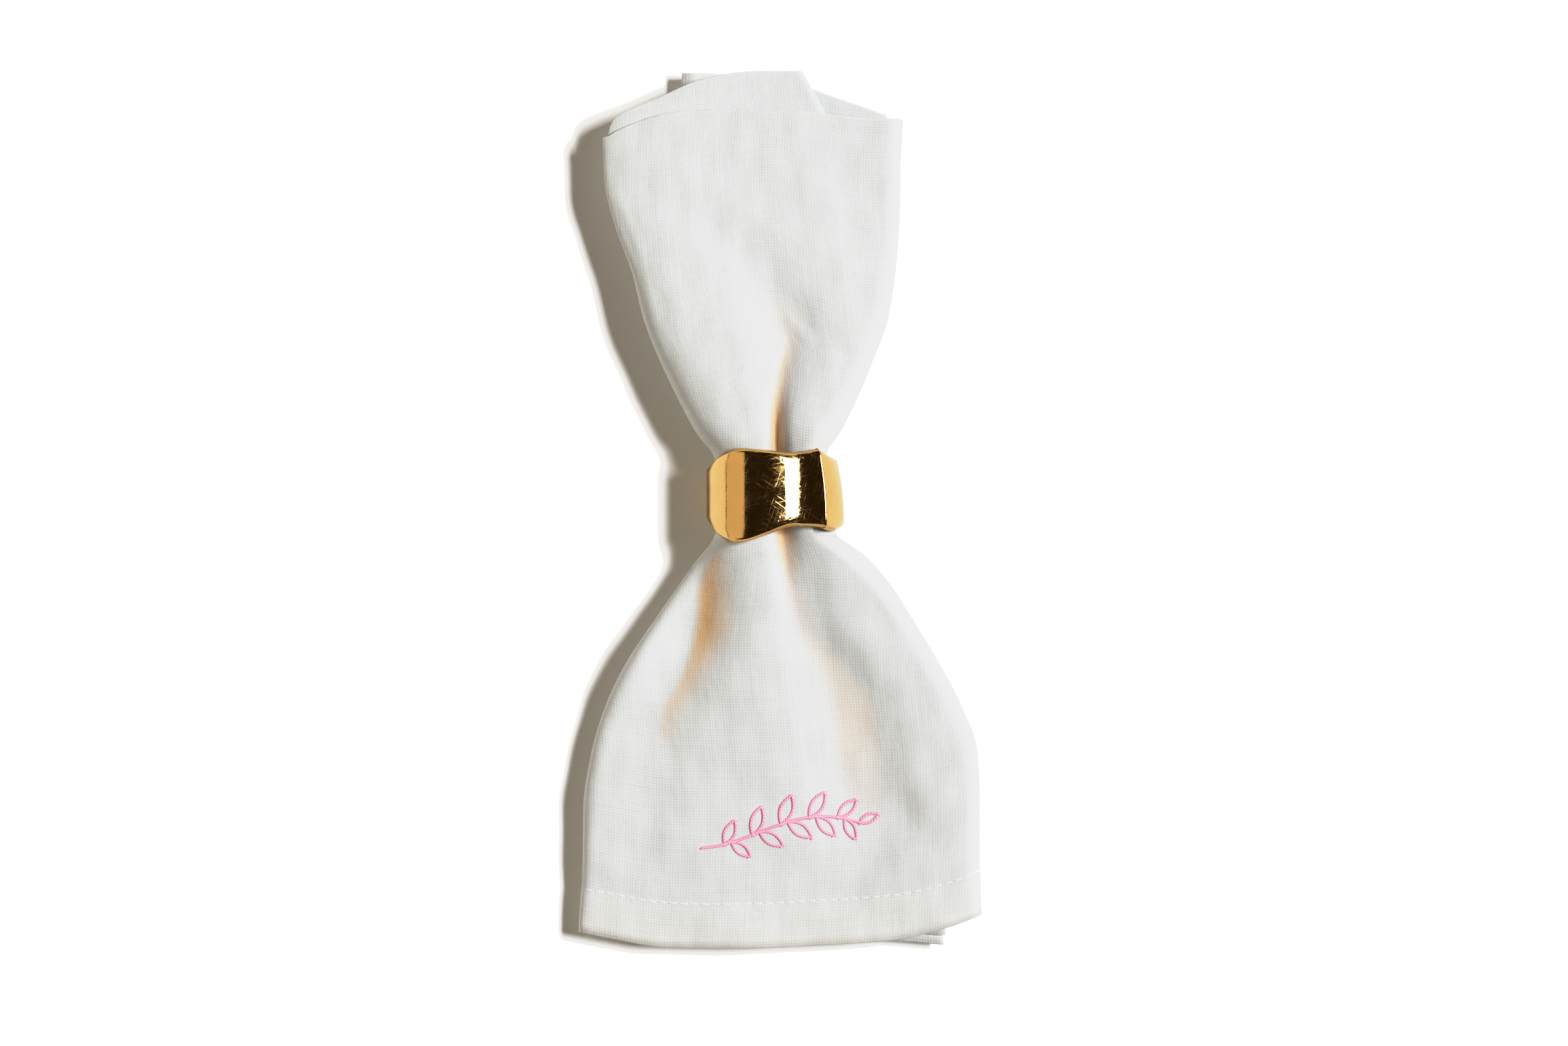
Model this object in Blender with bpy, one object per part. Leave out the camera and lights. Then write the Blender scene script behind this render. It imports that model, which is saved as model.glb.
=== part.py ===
"""A white linen napkin gathered through a polished gold-coloured metal ring, lying on the plane z = 0.

The square napkin is folded in half, then in quarters across, so four doubled panels lie over each other.
Its hem points to -Y, its folded end to +Y, and the ring sits near the middle of its length.
Sizes and tables are in millimetres, and the meshes are in metres.
"""

import math
from collections import namedtuple

import bmesh
import bpy
import numpy as np

MM = 0.001

# The doubled linen of one panel, and the spacing that keeps two panels apart.
PANEL_THICKNESS = 1.05
PANEL_SPACING = 2.2
HALF_PANEL = PANEL_THICKNESS / 2

# The ring's wall and the rounding of its two rims.
RING_WALL = 2.2
RIM_RADIUS = 0.95
RIM_STEPS = 3
RING_STEPS = 64
# The ring narrows towards the folded end, on its right-hand side only.
RING_TAPER = 0.0056
RING_TAPER_START = -4.0
RING_HALF_WIDTH = 20.3

# Stations across the napkin lie closest together at the ring.
HEM_Y = -136.0
FOLD_Y = 127.0
RING_Y = 5.0
STATIONS = 35
STATION_BUNCHING = 1.5

# Points along each stretch of the folded section, from the lowest panel's free edge inwards.
BOTTOM_STEPS = 5
OUTER_FOLD_STEPS = 6
FRONT_STEPS = 28
LEFT_FOLD_STEPS = 7
MIDDLE_STEPS = 15
INNER_FOLD_STEPS = 5
INNER_STEPS = 9
# Points along the fine lines that these steps are read from.
FINE_STEPS = 400
BEND_STEPS = 60
LOOP_FINE_STEPS = 24
# Every kink in the section is rounded over about this length, worked out in steps of the second length.
KINK_LENGTH = 0.5
KINK_STEP = 0.2
# A bend of one radian takes the points of this length of flat cloth.
BEND_LENGTH = 7.0

# How wide the front panel's left fold is, how round a fold is, and how far the lowest panel starts to lift
# before the outer fold, for its height.
LEFT_FOLD_REACH = 2.15
FOLD_PULL = 0.6
OUTER_FOLD_SPREAD = 1.25
# The share of the front panel's relief that the second panel keeps at its fold and far from it.
MIDDLE_SHARE_AT_FOLD = 0.92
MIDDLE_SHARE_INSIDE = 0.62
MIDDLE_SHARE_REACH = 40.0
INNER_SHARE = 0.45

# The front panel's section: its two edges, the height at which each edge turns under, how far each edge's
# rounding reaches in, and the height of its top at the left and at the right.
Front = namedtuple("Front", "y left right left_z right_z left_round right_round top_left top_right")
FRONT = [
    Front(-136, -64.0, 63.7, 5.7, 3.7, 1.4, 3.0, 7.4, 7.4),
    Front(-115, -62.9, 63.3, 5.8, 4.0, 3.0, 4.5, 9.2, 9.4),
    Front(-95, -62.6, 63.3, 6.0, 4.6, 4.0, 5.0, 10.8, 10.3),
    Front(-80, -60.5, 62.5, 6.4, 5.4, 5.0, 6.0, 12.6, 10.8),
    Front(-65, -56.4, 57.6, 7.0, 6.2, 5.5, 7.0, 14.8, 11.4),
    Front(-50, -49.6, 50.4, 7.6, 7.0, 5.5, 8.0, 17.4, 12.8),
    Front(-36, -40.5, 42.4, 8.2, 7.6, 5.5, 8.0, 19.6, 15.0),
    Front(-24, -32.2, 34.8, 8.6, 8.2, 7.0, 8.5, 21.0, 17.6),
    Front(-15, -25.6, 27.0, 8.8, 8.6, 8.0, 8.5, 22.0, 19.4),
    Front(-11, -22.2, 21.6, 8.6, 9.0, 10.0, 9.0, 22.4, 20.2),
    Front(-7, -20.3, 16.4, 8.4, 9.2, 10.4, 7.4, 22.4, 19.0),
    Front(5, -19.9, 15.8, 8.4, 9.4, 10.4, 7.0, 22.4, 18.8),
    Front(14, -19.9, 14.4, 8.4, 9.4, 12.0, 6.6, 22.4, 18.8),
    Front(18, -21.3, 14.2, 8.6, 9.2, 14.0, 6.6, 22.4, 19.2),
    Front(24, -26.0, 18.0, 10.0, 8.8, 14.5, 9.0, 22.8, 20.4),
    Front(34, -31.5, 23.2, 10.8, 8.2, 15.0, 9.0, 22.2, 18.0),
    Front(48, -38.0, 29.1, 11.4, 7.4, 16.0, 8.5, 21.4, 14.8),
    Front(62, -43.0, 34.0, 12.0, 6.6, 14.0, 7.5, 20.4, 12.2),
    Front(80, -46.9, 36.6, 12.6, 6.0, 12.0, 6.0, 19.0, 10.4),
    Front(98, -52.5, 37.8, 13.0, 5.2, 14.0, 5.0, 17.6, 9.4),
    Front(112, -55.5, 38.0, 13.2, 4.6, 12.0, 4.5, 16.4, 9.0),
    Front(127, -56.2, 38.8, 13.4, 4.2, 8.0, 4.0, 15.2, 8.6),
]

# The hidden panels: how high the lowest one lies, its free edge, the free edge of the innermost one, and the
# fold that joins the second panel to the innermost one.
Under = namedtuple("Under", "y floor bottom_free inner_free inner_fold")
UNDER = [
    Under(-136, 0.0, -60.0, -58.0, 51.5),
    Under(-95, 0.0, -59.0, -57.0, 50.0),
    Under(-60, 0.0, -50.0, -47.0, 40.0),
    Under(-36, 0.0, -35.0, -32.0, 27.0),
    Under(-20, 1.0, -23.0, -21.0, 17.0),
    Under(-11, 2.55, -15.0, -15.5, 10.5),
    Under(5, 2.55, -14.0, -15.0, 9.5),
    Under(20, 2.55, -15.0, -16.0, 10.0),
    Under(30, 1.0, -21.0, -22.0, 14.5),
    Under(48, 0.0, -29.0, -31.0, 21.0),
    Under(80, 0.0, -34.0, -38.0, 26.5),
    Under(112, 0.0, -33.0, -40.0, 14.0),
    Under(127, 0.0, -31.5, -38.0, 5.5),
]

# The lowest panel's far left corner curls off the table.
CURL_HEIGHT = 4.6
CURL_X = (-4.0, -32.0)
CURL_Y = (92.0, 127.0)

# Folds in the front panel: where each lies, how far it spreads to each side, and how deep it is there.
Fold = namedtuple("Fold", "y x left_width right_width depth")
CENTRE_GROOVE = [
    Fold(-34, 2.4, 1.8, 5.0, 0.0),
    Fold(-22, 0.8, 1.8, 5.0, 1.4),
    Fold(-13, -0.2, 1.8, 5.2, 3.6),
    Fold(-6, -0.6, 1.8, 4.8, 5.8),
    Fold(5, -1.2, 1.8, 4.4, 6.6),
    Fold(19, -2.0, 1.7, 4.6, 7.2),
    Fold(27, -2.0, 1.6, 4.8, 6.8),
    Fold(34, -1.9, 1.6, 5.2, 4.8),
    Fold(42, -0.9, 1.6, 5.2, 2.4),
    Fold(50, 1.2, 1.6, 4.6, 1.1),
    Fold(58, 3.0, 1.6, 4.0, 0.0),
]
BROAD_VALLEY = [
    Fold(-136, 16.0, 18.0, 14.0, 0.3),
    Fold(-124, 16.0, 20.0, 14.0, 1.4),
    Fold(-113, 20.0, 18.0, 14.0, 2.2),
    Fold(-103, 31.0, 18.0, 15.0, 2.8),
    Fold(-85, 25.0, 16.0, 14.0, 3.6),
    Fold(-65, 23.0, 14.0, 14.5, 4.2),
    Fold(-50, 15.5, 11.0, 11.5, 3.9),
    Fold(-36, 7.5, 8.0, 10.5, 3.4),
    Fold(-20, 3.0, 5.0, 10.5, 3.0),
    Fold(-7, 1.5, 4.0, 8.0, 2.6),
    Fold(5, 1.0, 4.0, 6.5, 2.2),
    Fold(20, 0.6, 4.0, 7.0, 2.0),
    Fold(35, -0.6, 5.0, 9.0, 1.8),
    Fold(48, 0.6, 7.0, 9.6, 2.3),
    Fold(60, 0.0, 8.0, 11.5, 2.7),
    Fold(76, -10.0, 9.0, 10.5, 1.2),
    Fold(95, -24.0, 10.0, 11.0, 0.7),
    Fold(108, -26.0, 10.0, 11.0, 0.0),
]
LEFT_VALLEY = [
    Fold(-100, -46.0, 20.0, 18.0, 0.0),
    Fold(-85, -44.0, 20.0, 17.0, 1.6),
    Fold(-65, -40.5, 20.0, 14.0, 4.6),
    Fold(-50, -32.5, 20.0, 12.0, 6.2),
    Fold(-36, -28.5, 18.0, 12.0, 8.6),
    Fold(-26, -27.6, 14.0, 10.5, 8.6),
    Fold(-18, -25.6, 8.0, 8.5, 7.6),
    Fold(-12, -23.0, 6.0, 7.0, 4.6),
    Fold(-5, -22.0, 6.0, 6.0, 0.0),
]
# Each fold, and how steep its left and its right wall are: 2 is a bell curve, more is steeper.
FOLDS = [(CENTRE_GROOVE, 2.6, 1.5), (BROAD_VALLEY, 2.0, 2.6), (LEFT_VALLEY, 2.0, 1.7)]

# The ends of each panel: across x, the y at which the cloth stops.
Edge = namedtuple("Edge", "x y")
FOLD_ENDS = {
    "front": [Edge(-56.2, 117.2), Edge(-52.7, 119.6), Edge(-44.2, 123.3), Edge(-33.6, 126.0),
              Edge(-20, 127.0), Edge(6, 126.6), Edge(16, 125.6), Edge(27, 124.4), Edge(38.8, 124.4)],
    "middle": [Edge(-56.2, 117.2), Edge(-53.5, 123.4), Edge(-38.5, 130.9), Edge(-24.4, 136.9),
               Edge(-8, 139.6), Edge(5.5, 139.7)],
    "inner": [Edge(-38, 130.0), Edge(-22, 135.6), Edge(-8, 138.6), Edge(5.5, 139.7)],
    "bottom": [Edge(-31.5, 139.0), Edge(-18, 139.0), Edge(7, 135.5), Edge(19.3, 131.3), Edge(30, 127.7),
               Edge(38.8, 124.4)],
}
HEM_ENDS = {
    "front": [Edge(-64, -134.7), Edge(-53, -136.8), Edge(-36, -139.5), Edge(-15, -139.8), Edge(10, -138.9),
              Edge(35, -137.2), Edge(54, -132.8), Edge(63.7, -129.1)],
    "middle": [Edge(-64, -134.7), Edge(-40, -137.6), Edge(0, -138.2), Edge(36, -137.6), Edge(51.5, -138.8)],
    "inner": [Edge(-58, -134.0), Edge(0, -137.6), Edge(36, -137.6), Edge(51.5, -138.8)],
    "bottom": [Edge(-60, -134.0), Edge(0, -137.0), Edge(40, -135.6), Edge(63.7, -129.1)],
}
# The ends' slant dies out this far from the ring.
END_CALM = 30.0

# The ring's loop seen from the hem: its outer face, and where the band's two rims lie at that place.
Band = namedtuple("Band", "x z hem_rim fold_rim")
BAND = [
    Band(-14.0, 0.0, -7.0, 16.0),
    Band(-1.5, 0.0, -7.0, 16.2),
    Band(12.5, 0.0, -6.6, 16.4),
    Band(18.0, 2.7, -6.2, 16.6),
    Band(20.0, 8.0, -5.8, 16.8),
    Band(20.2, 12.0, -5.6, 17.0),
    Band(19.0, 16.0, -6.4, 17.4),
    Band(17.2, 19.8, -6.6, 18.3),
    Band(15.5, 22.6, -6.2, 19.2),
    Band(14.7, 23.68, -5.9, 19.5),
    Band(14.2, 23.92, -5.8, 19.5),
    Band(12.6, 23.75, -5.4, 19.4),
    Band(9.6, 23.42, -5.1, 18.8),
    Band(7.2, 23.68, -5.1, 18.6),
    Band(5.4, 24.14, -5.1, 18.4),
    Band(2.4, 25.28, -5.5, 18.4),
    Band(1.0, 25.72, -5.9, 18.5),
    Band(-3.5, 26.7, -7.6, 18.9),
    Band(-8.5, 27.0, -9.2, 19.3),
    Band(-13.0, 26.0, -10.2, 19.6),
    Band(-16.6, 23.6, -10.2, 19.2),
    Band(-20.0, 19.6, -8.4, 17.6),
    Band(-22.7, 14.5, -5.0, 15.0),
    Band(-23.7, 9.5, -3.6, 14.0),
    Band(-22.4, 4.5, -4.6, 14.6),
    Band(-18.6, 1.0, -6.2, 15.6),
]


def curve_through(places, values, at):
    """Reads a smooth curve through (places, values) that never overshoots between two of them."""
    places = np.asarray(places, float)
    values = np.asarray(values, float)
    at = np.clip(at, places[0], places[-1])
    gaps = np.diff(places)
    rises = np.diff(values) / gaps
    before, after = rises[:-1], rises[1:]
    same_way = before * after > 0
    total = np.where(same_way, before + after, 1.0)
    bends = np.where(same_way, 2 * before * after / total, 0.0)
    slopes = np.concatenate([rises[:1], bends, rises[-1:]])
    k = np.clip(np.searchsorted(places, at, side="right") - 1, 0, len(gaps) - 1)
    t = (at - places[k]) / gaps[k]
    left = values[k] * (1 + 2 * t) * (1 - t) ** 2 + slopes[k] * gaps[k] * t * (1 - t) ** 2
    right = values[k + 1] * t**2 * (3 - 2 * t) + slopes[k + 1] * gaps[k] * t**2 * (t - 1)
    return left + right


def row_at(table, y):
    """The table's row at y, each column read from its smooth curve."""
    places = [row.y for row in table]
    columns = {name: float(curve_through(places, [getattr(row, name) for row in table], y))
               for name in table[0]._fields if name != "y"}
    return type(table[0])(y=y, **columns)


def ease(value, start, end):
    """Goes smoothly from 0 at start to 1 at end."""
    t = np.clip((value - start) / (end - start), 0.0, 1.0)
    return t * t * (3 - 2 * t)


def resampled(points, steps, bend_length=0.0):
    """The polyline cut into equal steps, which a bend shortens as if each radian were this much longer."""
    points = np.asarray(points, float)
    sides = np.diff(points, axis=0)
    lengths = np.linalg.norm(sides, axis=1)
    headings = np.unwrap(np.arctan2(sides[:, 1], sides[:, 0]))
    turns = np.concatenate([[0.0], np.abs(np.diff(headings))])
    places = np.concatenate([[0.0], np.cumsum(lengths + bend_length * turns)])
    wanted = np.linspace(0.0, places[-1], steps + 1)
    return np.column_stack([np.interp(wanted, places, points[:, k]) for k in range(points.shape[1])])


def softened(stretches):
    """The stretches of one line with every kink in it rounded off."""
    fine = []
    for points in stretches:
        length = np.linalg.norm(np.diff(points, axis=0), axis=1).sum()
        fine.append(resampled(points, max(int(length / KINK_STEP), 2)))
    whole = np.concatenate([fine[0]] + [part[1:] for part in fine[1:]])
    reach = int(3 * KINK_LENGTH / KINK_STEP)
    weights = np.exp(-0.5 * (np.arange(-reach, reach + 1) * KINK_STEP / KINK_LENGTH) ** 2)
    before = 2 * whole[0] - whole[reach:0:-1]
    after = 2 * whole[-1] - whole[-2:-reach - 2:-1]
    padded = np.concatenate([before, whole, after])
    soft = np.column_stack([np.convolve(padded[:, k], weights / weights.sum(), "valid") for k in (0, 1)])
    ends = np.cumsum([0] + [len(part) - 1 for part in fine])
    return [soft[start:end + 1] for start, end in zip(ends[:-1], ends[1:])]


def bend(start, start_pull, end_pull, end):
    """A cubic curve between two points, as a fine polyline."""
    t = np.linspace(0.0, 1.0, BEND_STEPS)[:, None]
    start, start_pull, end_pull, end = (np.asarray(p, float) for p in (start, start_pull, end_pull, end))
    return ((1 - t) ** 3 * start + 3 * t * (1 - t) ** 2 * start_pull
            + 3 * t**2 * (1 - t) * end_pull + t**3 * end)


def front_height(x, y):
    """Height of the front panel's centre line across x at y."""
    front = row_at(FRONT, y)
    along = (x - front.left) / (front.right - front.left)
    top = front.top_left + (front.top_right - front.top_left) * along
    for fold, left_power, right_power in FOLDS:
        row = row_at(fold, y)
        spread = np.where(x < row.x, row.left_width, row.right_width)
        power = np.where(x < row.x, left_power, right_power)
        top = top - row.depth * np.exp(-np.abs((x - row.x) / spread) ** power)
    from_left = np.clip((x - front.left) / front.left_round, 0.0, 1.0)
    from_right = np.clip((front.right - x) / front.right_round, 0.0, 1.0)
    left_share = np.sqrt(1 - (1 - from_left) ** 2)
    right_share = np.sqrt(1 - (1 - from_right) ** 2)
    height = front.left_z + (top - front.left_z) * left_share
    return front.right_z + (height - front.right_z) * right_share


def kept_below(x, height, spacing):
    """The highest line that stays at least this spacing below another."""
    apart = x[None, :] - x[:, None]
    near = np.abs(apart) < spacing
    drop = np.sqrt(np.where(near, spacing**2 - apart**2, 0.0))
    return np.where(near, height[None, :] - drop, np.inf).min(axis=1)


def section_stretches(y):
    """The folded section at y, as stretches of (x, z) from the lowest panel's free edge inwards."""
    front = row_at(FRONT, y)
    under = row_at(UNDER, y)
    x = np.linspace(front.left, front.right, FINE_STEPS)
    curl = CURL_HEIGHT * ease(x, *CURL_X) * ease(y, *CURL_Y)
    bottom_z = under.floor + HALF_PANEL + curl
    inside = (x > front.left + front.left_round) & (x < front.right - front.right_round)
    lowest = np.where(inside, bottom_z + 3 * PANEL_SPACING, min(front.left_z, front.right_z))
    front_z = np.maximum(front_height(x, y), lowest)
    middle_base = bottom_z + 2 * PANEL_SPACING
    share = MIDDLE_SHARE_AT_FOLD + (MIDDLE_SHARE_INSIDE - MIDDLE_SHARE_AT_FOLD) * ease(
        x, front.left, front.left + MIDDLE_SHARE_REACH)
    room = kept_below(x, front_z, PANEL_SPACING)
    middle_z = np.minimum(room, middle_base + share * (room - middle_base))
    inner_base = bottom_z + PANEL_SPACING
    room = kept_below(x, middle_z, PANEL_SPACING)
    inner_z = np.minimum(room, inner_base + INNER_SHARE * (room - inner_base))

    def stretch(heights, start, end):
        places = np.linspace(start, end, FINE_STEPS)
        return np.column_stack([places, np.interp(places, x, heights)])

    foot = front.right - OUTER_FOLD_SPREAD * (front.right_z - under.floor)
    bottom = stretch(bottom_z, under.bottom_free, foot)
    panel = np.column_stack([x, front_z])[::-1]
    reach, rise = FOLD_PULL * (panel[0] - bottom[-1])
    outer_fold = bend(bottom[-1], bottom[-1] + [reach, 0], panel[0] - [0, rise], panel[0])
    middle = stretch(middle_z, front.left + LEFT_FOLD_REACH, under.inner_fold)
    heading = middle[2] - middle[0]
    pull = FOLD_PULL * LEFT_FOLD_REACH
    left_fold = bend(panel[-1], panel[-1] - [0, pull], middle[0] - pull * heading / np.linalg.norm(heading),
                     middle[0])
    inner = stretch(inner_z, under.inner_fold, under.inner_free)
    reach = FOLD_PULL * (middle[-1, 1] - inner[0, 1])
    inner_fold = bend(middle[-1], middle[-1] + [reach, 0], inner[0] + [reach, 0], inner[0])
    return bottom, outer_fold, panel, left_fold, middle, inner_fold, inner


# The panel that each stretch of the section belongs to, and its steps.
STRETCHES = [
    ("bottom", BOTTOM_STEPS),
    ("front", OUTER_FOLD_STEPS),
    ("front", FRONT_STEPS),
    ("middle", LEFT_FOLD_STEPS),
    ("middle", MIDDLE_STEPS),
    ("inner", INNER_FOLD_STEPS),
    ("inner", INNER_STEPS),
]


def section(y):
    """The whole folded section at y as one polyline of (x, z)."""
    stretches = softened(section_stretches(y))
    parts = [resampled(points, steps, BEND_LENGTH) for points, (_, steps) in zip(stretches, STRETCHES)]
    return np.concatenate([parts[0]] + [part[1:] for part in parts[1:]])


def end_slant(ends, line, nominal):
    """How far each point of the end section lies past the nominal end."""
    panels = [STRETCHES[0][0]]
    for panel, steps in STRETCHES:
        panels += [panel] * steps
    return np.array([
        float(curve_through([edge.x for edge in ends[panel]], [edge.y for edge in ends[panel]], x)) - nominal
        for panel, x in zip(panels, line[:, 0])
    ])


def napkin_rows():
    """Rows of points over the napkin's centre surface, one row for each station from hem to fold."""
    reach_down, reach_up = RING_Y - HEM_Y, FOLD_Y - RING_Y
    steps = np.linspace(-1.0, 1.0, STATIONS)
    spread = np.sinh(STATION_BUNCHING * steps) / math.sinh(STATION_BUNCHING)
    stations = RING_Y + np.where(spread < 0, spread * reach_down, spread * reach_up)
    hem_slant = end_slant(HEM_ENDS, section(HEM_Y), HEM_Y)
    fold_slant = end_slant(FOLD_ENDS, section(FOLD_Y), FOLD_Y)
    rows = []
    for y in stations:
        line = section(y)
        slant = ease(y, RING_Y - END_CALM, HEM_Y) * hem_slant
        slant = slant + ease(y, RING_Y + END_CALM, FOLD_Y) * fold_slant
        rows.append(np.column_stack([line[:, 0], y + slant, line[:, 1]]))
    return rows


def ring_loop():
    """The ring's outer face as rows of (x, z, hem_rim, fold_rim), evenly spaced round the loop."""
    knots = np.array(BAND)
    fine = []
    for k in range(len(knots)):
        before, start, end, after = (knots[(k + step) % len(knots)] for step in (-1, 0, 1, 2))
        for t in np.linspace(0.0, 1.0, LOOP_FINE_STEPS, endpoint=False):
            fine.append(0.5 * (2 * start + (end - before) * t
                               + (2 * before - 5 * start + 4 * end - after) * t**2
                               + (3 * start - before - 3 * end + after) * t**3))
    fine = np.array(fine + fine[:1])
    fine[:, 1] = np.maximum(fine[:, 1], 0.0)
    return resampled(fine, RING_STEPS)[:-1]


def ring_rows():
    """One closed row of points round the band's wall for each place on the loop."""
    loop = ring_loop()
    ahead, behind = np.roll(loop, -1, axis=0), np.roll(loop, 1, axis=0)
    along = ahead[:, :2] - behind[:, :2]
    inward = np.column_stack([-along[:, 1], along[:, 0]]) / np.linalg.norm(along, axis=1)[:, None]
    rows = []
    for (x, z, hem_rim, fold_rim), (in_x, in_z) in zip(loop, inward):
        corners = [
            (RIM_RADIUS, hem_rim + RIM_RADIUS, 270),
            (RIM_RADIUS, fold_rim - RIM_RADIUS, 180),
            (RING_WALL - RIM_RADIUS, fold_rim - RIM_RADIUS, 90),
            (RING_WALL - RIM_RADIUS, hem_rim + RIM_RADIUS, 0),
        ]
        row = []
        for depth, y, start in corners:
            for step in range(RIM_STEPS + 1):
                angle = math.radians(start - 90 * step / RIM_STEPS)
                inwards = depth + RIM_RADIUS * math.cos(angle)
                along_y = y + RIM_RADIUS * math.sin(angle)
                past = max(along_y - RING_TAPER_START, 0.0)
                taper = RING_TAPER * past**2 * max(x, 0.0) / RING_HALF_WIDTH
                row.append((x + inwards * in_x - taper, along_y, z + inwards * in_z))
        rows.append(np.array(row))
    return rows


def skinned(name, rows, rows_close, row_closes):
    """A mesh object whose faces join each row of points to the next."""
    shape = bmesh.new()
    made = [[shape.verts.new(point * MM) for point in row] for row in rows]
    last = len(rows) if rows_close else len(rows) - 1
    for k in range(last):
        here, there = made[k], made[(k + 1) % len(rows)]
        for j in range(len(here) if row_closes else len(here) - 1):
            after = (j + 1) % len(here)
            shape.faces.new((here[j], here[after], there[after], there[j]))
    bmesh.ops.recalc_face_normals(shape, faces=shape.faces)
    mesh = bpy.data.meshes.new(name)
    shape.to_mesh(mesh)
    shape.free()
    mesh.shade_smooth()
    piece = bpy.data.objects.new(name, mesh)
    bpy.context.scene.collection.objects.link(piece)
    return piece


def principled(name, colour, roughness, metallic):
    """A plain Principled material."""
    material = bpy.data.materials.new(name)
    material.use_nodes = True
    shader = material.node_tree.nodes["Principled BSDF"]
    shader.inputs["Base Color"].default_value = (*colour, 1.0)
    shader.inputs["Roughness"].default_value = roughness
    shader.inputs["Metallic"].default_value = metallic
    return material


def build_napkin():
    """The napkin's folded panels as one sheet with the doubled linen's thickness."""
    napkin = skinned("napkin", napkin_rows(), rows_close=False, row_closes=False)
    napkin.data.materials.append(principled("bleached linen", (0.86, 0.86, 0.84), 0.9, 0.0))
    thickness = napkin.modifiers.new("Doubled linen", "SOLIDIFY")
    thickness.thickness = PANEL_THICKNESS * MM
    thickness.offset = 0.0
    return napkin


def build_ring():
    """The napkin ring's wavy band."""
    ring = skinned("napkin_ring", ring_rows(), rows_close=True, row_closes=True)
    ring.data.materials.append(principled("polished gold-plated brass", (0.78, 0.50, 0.14), 0.12, 1.0))
    return ring


def main():
    for leftover in list(bpy.data.objects):
        bpy.data.objects.remove(leftover)
    build_napkin()
    build_ring()


main()
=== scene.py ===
"""Dresses a white linen napkin that is gathered through a polished gold-plated napkin ring.

The napkin lies on a pale floor, its hem towards -Y and its folded end towards +Y, and the camera looks
straight down. Sizes and tables are in millimetres, as seen from above, and the meshes are in metres.
"""

import logging
import math
from dataclasses import dataclass
from enum import Enum
from typing import Any, NamedTuple, Sequence

import bpy
import numpy as np
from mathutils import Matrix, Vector
from mathutils.bvhtree import BVHTree


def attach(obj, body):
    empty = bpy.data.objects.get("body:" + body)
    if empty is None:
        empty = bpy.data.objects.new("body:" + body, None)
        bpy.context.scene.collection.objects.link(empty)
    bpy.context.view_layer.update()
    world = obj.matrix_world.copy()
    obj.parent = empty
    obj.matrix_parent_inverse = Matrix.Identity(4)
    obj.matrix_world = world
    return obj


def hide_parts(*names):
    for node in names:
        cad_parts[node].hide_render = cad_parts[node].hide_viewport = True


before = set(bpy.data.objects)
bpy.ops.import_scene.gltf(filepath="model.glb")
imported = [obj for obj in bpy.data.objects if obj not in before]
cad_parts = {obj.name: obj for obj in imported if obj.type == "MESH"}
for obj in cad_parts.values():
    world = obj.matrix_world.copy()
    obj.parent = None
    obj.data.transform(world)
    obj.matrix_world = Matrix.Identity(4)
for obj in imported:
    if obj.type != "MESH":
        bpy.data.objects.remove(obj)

LOG = logging.getLogger("napkin")
MM = 0.001
BODY = "root"
IMAGE_WIDTH = 2351
IMAGE_HEIGHT = 1568

Array = np.ndarray


class Panel(Enum):
    """The four doubled panels that the napkin is folded into, from the table up."""

    BOTTOM = "bottom"
    INNER = "inner"
    MIDDLE = "middle"
    FRONT = "front"


class Front(NamedTuple):
    """The front panel's section at one y: its edges, where they turn under, their rounding and its top."""

    y: float
    left: float
    right: float
    left_z: float
    right_z: float
    left_round: float
    right_round: float
    top_left: float
    top_right: float


class Under(NamedTuple):
    """The hidden panels at one y: the lowest one's height, its free edge, the folds and the tuck's edge."""

    y: float
    floor: float
    bottom_free: float
    inner_left: float
    inner_fold: float
    tuck_free: float


class Fold(NamedTuple):
    """A trough in the front panel at one y: its line, its spread to both sides and its depth."""

    y: float
    x: float
    left_width: float
    right_width: float
    depth: float


class Gather(NamedTuple):
    """The fine gathers of the hidden panels at one y: half their height and their spacing."""

    y: float
    height: float
    spacing: float


class Edge(NamedTuple):
    """A place on the end of a panel, where the cloth stops."""

    x: float
    y: float


class Band(NamedTuple):
    """A place on the ring's outer face seen from the hem, and where its two rims lie there."""

    x: float
    z: float
    hem_rim: float
    fold_rim: float


class Crease(NamedTuple):
    """A soft ridge, or a trough where its height is negative, between two places on the front panel."""

    start_x: float
    start_y: float
    end_x: float
    end_y: float
    width: float
    height: float


class Ripple(NamedTuple):
    """One slow wave of the cloth's unevenness: its length, its direction, its start and its height."""

    length: float
    direction: float
    phase: float
    height: float


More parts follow.
